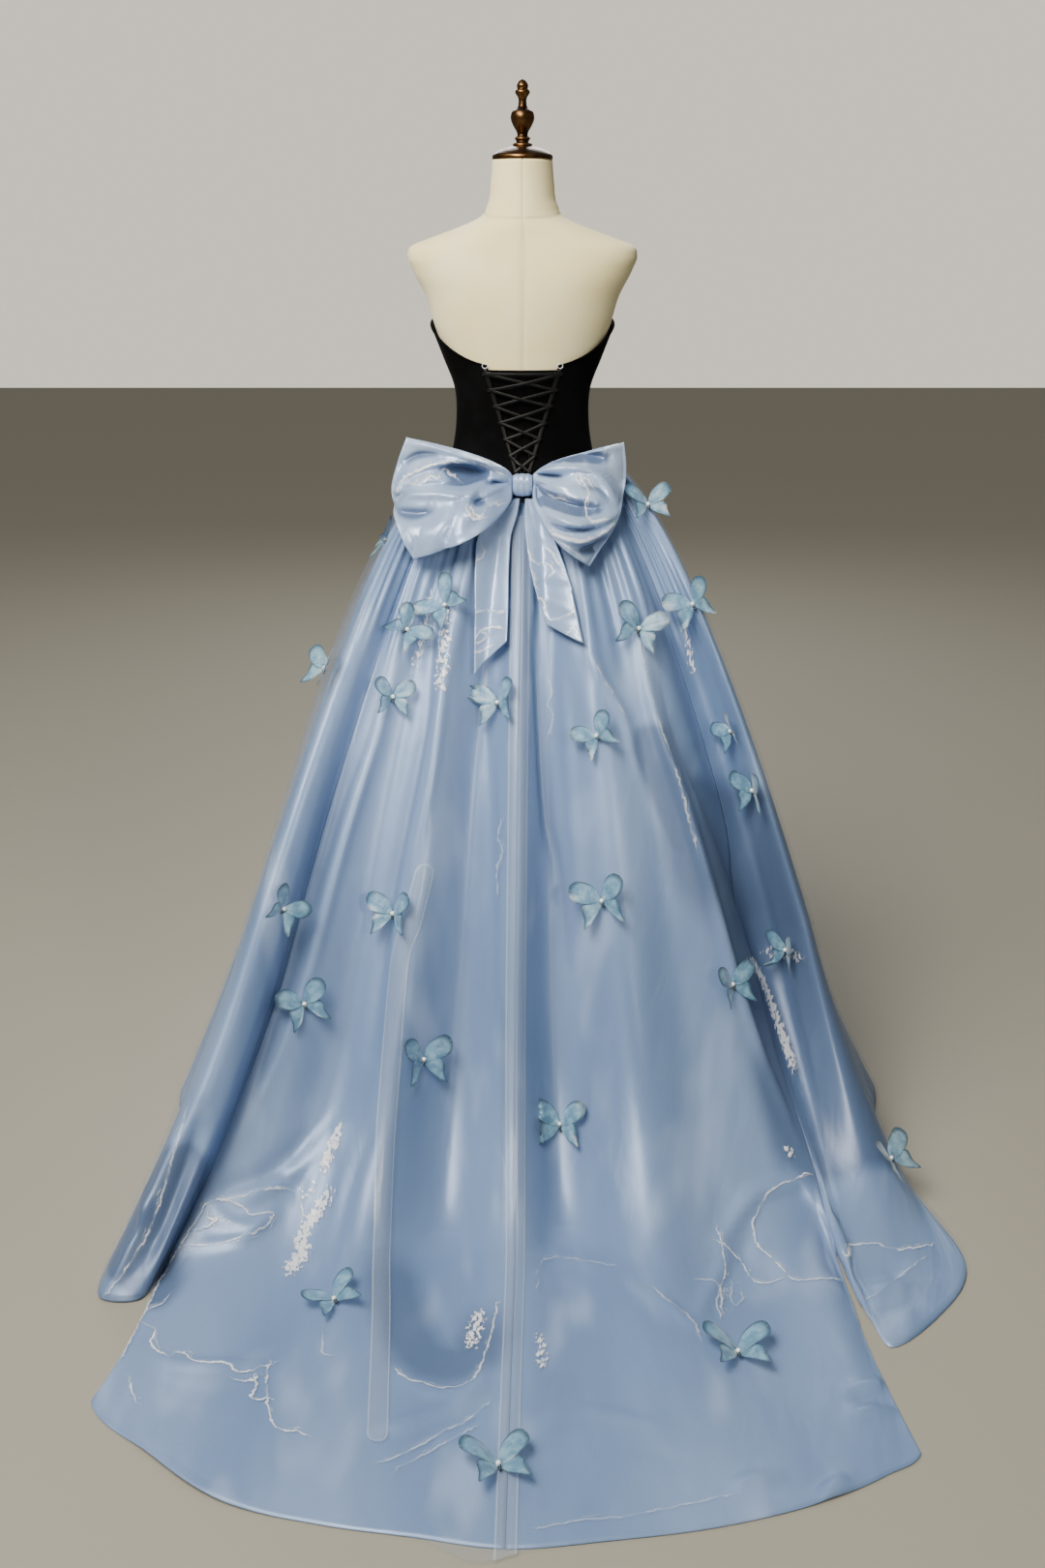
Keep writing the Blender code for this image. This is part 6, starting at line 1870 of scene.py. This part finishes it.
sewn = [makeButterfly(number, *place) for number, place in enumerate(butterfly["places"], 1)]
makeBeads("beadsPearl", [beads[0] for beads in sewn], pearl)
makeBeads("beadsJet", [bead for beads in sewn for bead in beads[1:]], jet)
print("butterflies made")

studio = {
    "floorColour": "918E83",
    "floorHalf": 12.0,
    "skyColour": "C2BCB0",
    "skySeen": 1.7,  # the room seen behind the gown is brighter than the light it gives
    "skyLight": 0.24,
    "lights": (  # name, kind, place, aim, watts (the sun's in watts for each square metre), colour, size
        ("key", "AREA", (-1.9, -1.7, 3.7), (0, -0.3, 0.9), 54, "FFF4E2", (2.2, 1.4)),
        ("overTrain", "AREA", (-0.8, -1.7, 2.9), (0.1, -1.05, 0.0), 62, "FFFAF2", (1.4, 0.8)),
        ("strip", "AREA", (-0.9, -2.6, 2.9), (-0.05, -0.15, 1.15), 58, "FFF6E0", (1.2, 0.6)),
        ("front", "AREA", (0.0, 3.2, 3.0), (0, 0.0, 0.8), 70, "FFFFFF", (2.0, 2.0)),
        # the even light of a room's ceiling, and a soft spot that opens up the folds of the left half
        ("ceiling", "SUN", (-4.841, -4.067, 7.747), (0, 0, 0), 1.3, "FFFAF0", 35),
        ("spot", "SPOT", (1.2, -2.9, 1.9), (-0.24, -0.4, 0.8), 200, "FFF8EC", 25),
    ),
    "cameraPlace": (0.0, -2.83, 1.47),
    "cameraDown": 19.3,
    "lens": 37.5,
}


def makeStage():
    side = studio["floorHalf"]
    mesh = bpy.data.meshes.new("floor")
    mesh.from_pydata(
        [(-side, -side, 0), (side, -side, 0), (side, side, 0), (-side, side, 0)], [], [(0, 1, 2, 3)]
    )
    look = {"Base Color": studio["floorColour"], "Roughness": 0.5}
    mesh.materials.append(setShader(newMaterial("floorPlain")[0], look))
    newObject("floor", mesh)
    world = bpy.data.worlds.new("studio")
    world.use_nodes = True
    tree, sky = world.node_tree, world.node_tree.nodes["Background"].inputs
    add = partial(addNode, tree)
    seen = add("LightPath", output="Is Camera Ray")
    extra = studio["skySeen"] - studio["skyLight"]
    setInput(tree, sky["Color"], studio["skyColour"])
    setInput(tree, sky["Strength"], add("Math", (seen, extra, studio["skyLight"]), **timesPlus))
    bpy.context.scene.world = world
    for name, kind, place, aim, watts, colour, size in studio["lights"]:
        light = bpy.data.lights.new(name, kind)
        light.energy, light.color = watts, toLinear(colour)[:3]
        if kind == "AREA":
            light.shape, light.size, light.size_y = "RECTANGLE", *size
        elif kind == "SUN":
            light.angle = math.radians(size)
        else:
            light.spot_size, light.spot_blend, light.shadow_soft_size = math.radians(size), 1.0, 0.35
        lamp = newObject(name, light)
        lamp.location = place
        lamp.rotation_euler = Vector(np.subtract(aim, place)).to_track_quat("-Z", "Y").to_euler()
    lens = bpy.data.cameras.new("viewpoint")
    lens.sensor_width, lens.lens = 36.0, studio["lens"]
    camera = newObject("viewpoint", lens)
    camera.location = studio["cameraPlace"]
    camera.rotation_euler = (math.radians(90 - studio["cameraDown"]), 0, 0)
    bpy.context.scene.camera = camera


# width and length in metres, area, how it is held, what it hangs from or lies on, what is sewn to it
cuts = {
    "satinFront": (1.5, 1.12, 1.05, "hung", ["velvetFront"], []),
    "satinSideRight": (1.25, 1.55, 0.88, "hung", ["velvetFront", "velvetBackRight"], []),
    "satinSideLeft": (1.2, 1.48, 0.9, "hung", ["velvetFront", "velvetBackLeft"], []),
    "satinBackLeft": (0.66, 1.83, 0.76, "hung", ["velvetBackLeft"], []),
    "satinBackRight": (0.66, 1.84, 0.8, "hung", ["velvetBackRight"], []),
    "organzaRight": (2.95, 1.85, 2.25, "gathered", ["satinFront", "satinSideRight", "satinBackRight"], []),
    "organzaLeft": (2.95, 1.85, 2.25, "gathered", ["satinFront", "satinSideLeft", "satinBackLeft"], []),
    "velvetFront": (0.4, 0.24, 0.08, "stretched", ["formBody"], ["topEdgePiping"]),
    "velvetBackRight": (
        0.14, 0.29, 0.027, "stretched", ["formBody"],
        ["loopTapeRight", "loopEyesRight", "lacingRibbon", "hangerRings"],
    ),
    "velvetBackLeft": (0.14, 0.29, 0.027, "stretched", ["formBody"], ["loopTapeLeft", "loopEyesLeft"]),
    "modestyPanel": (0.145, 0.209, 0.0185, "stretched", ["formBody"], []),
    "bowLoopLeft": (0.55, 0.17, None, "folded", ["bowKnot"], []),
    "bowLoopRight": (0.41, 0.17, None, "folded", ["bowKnot"], []),
    "bowKnot": (0.099, 0.032, None, "folded", ["velvetBackLeft"], []),
    "bowTailLeft": (0.075, 0.225, 0.0155, "hung", ["bowKnot"], []),
    "bowTailRight": (0.075, 0.19, 0.0128, "hung", ["bowKnot"], []),
}
for name, (width, length, area, held, restsOn, sewn) in cuts.items():
    [bpy.data.objects[other] for other in sewn]
    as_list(restsOn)
for number, (fold, down, degrees, width) in enumerate(butterfly["places"], 1):
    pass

makeStage()
print("stage made")
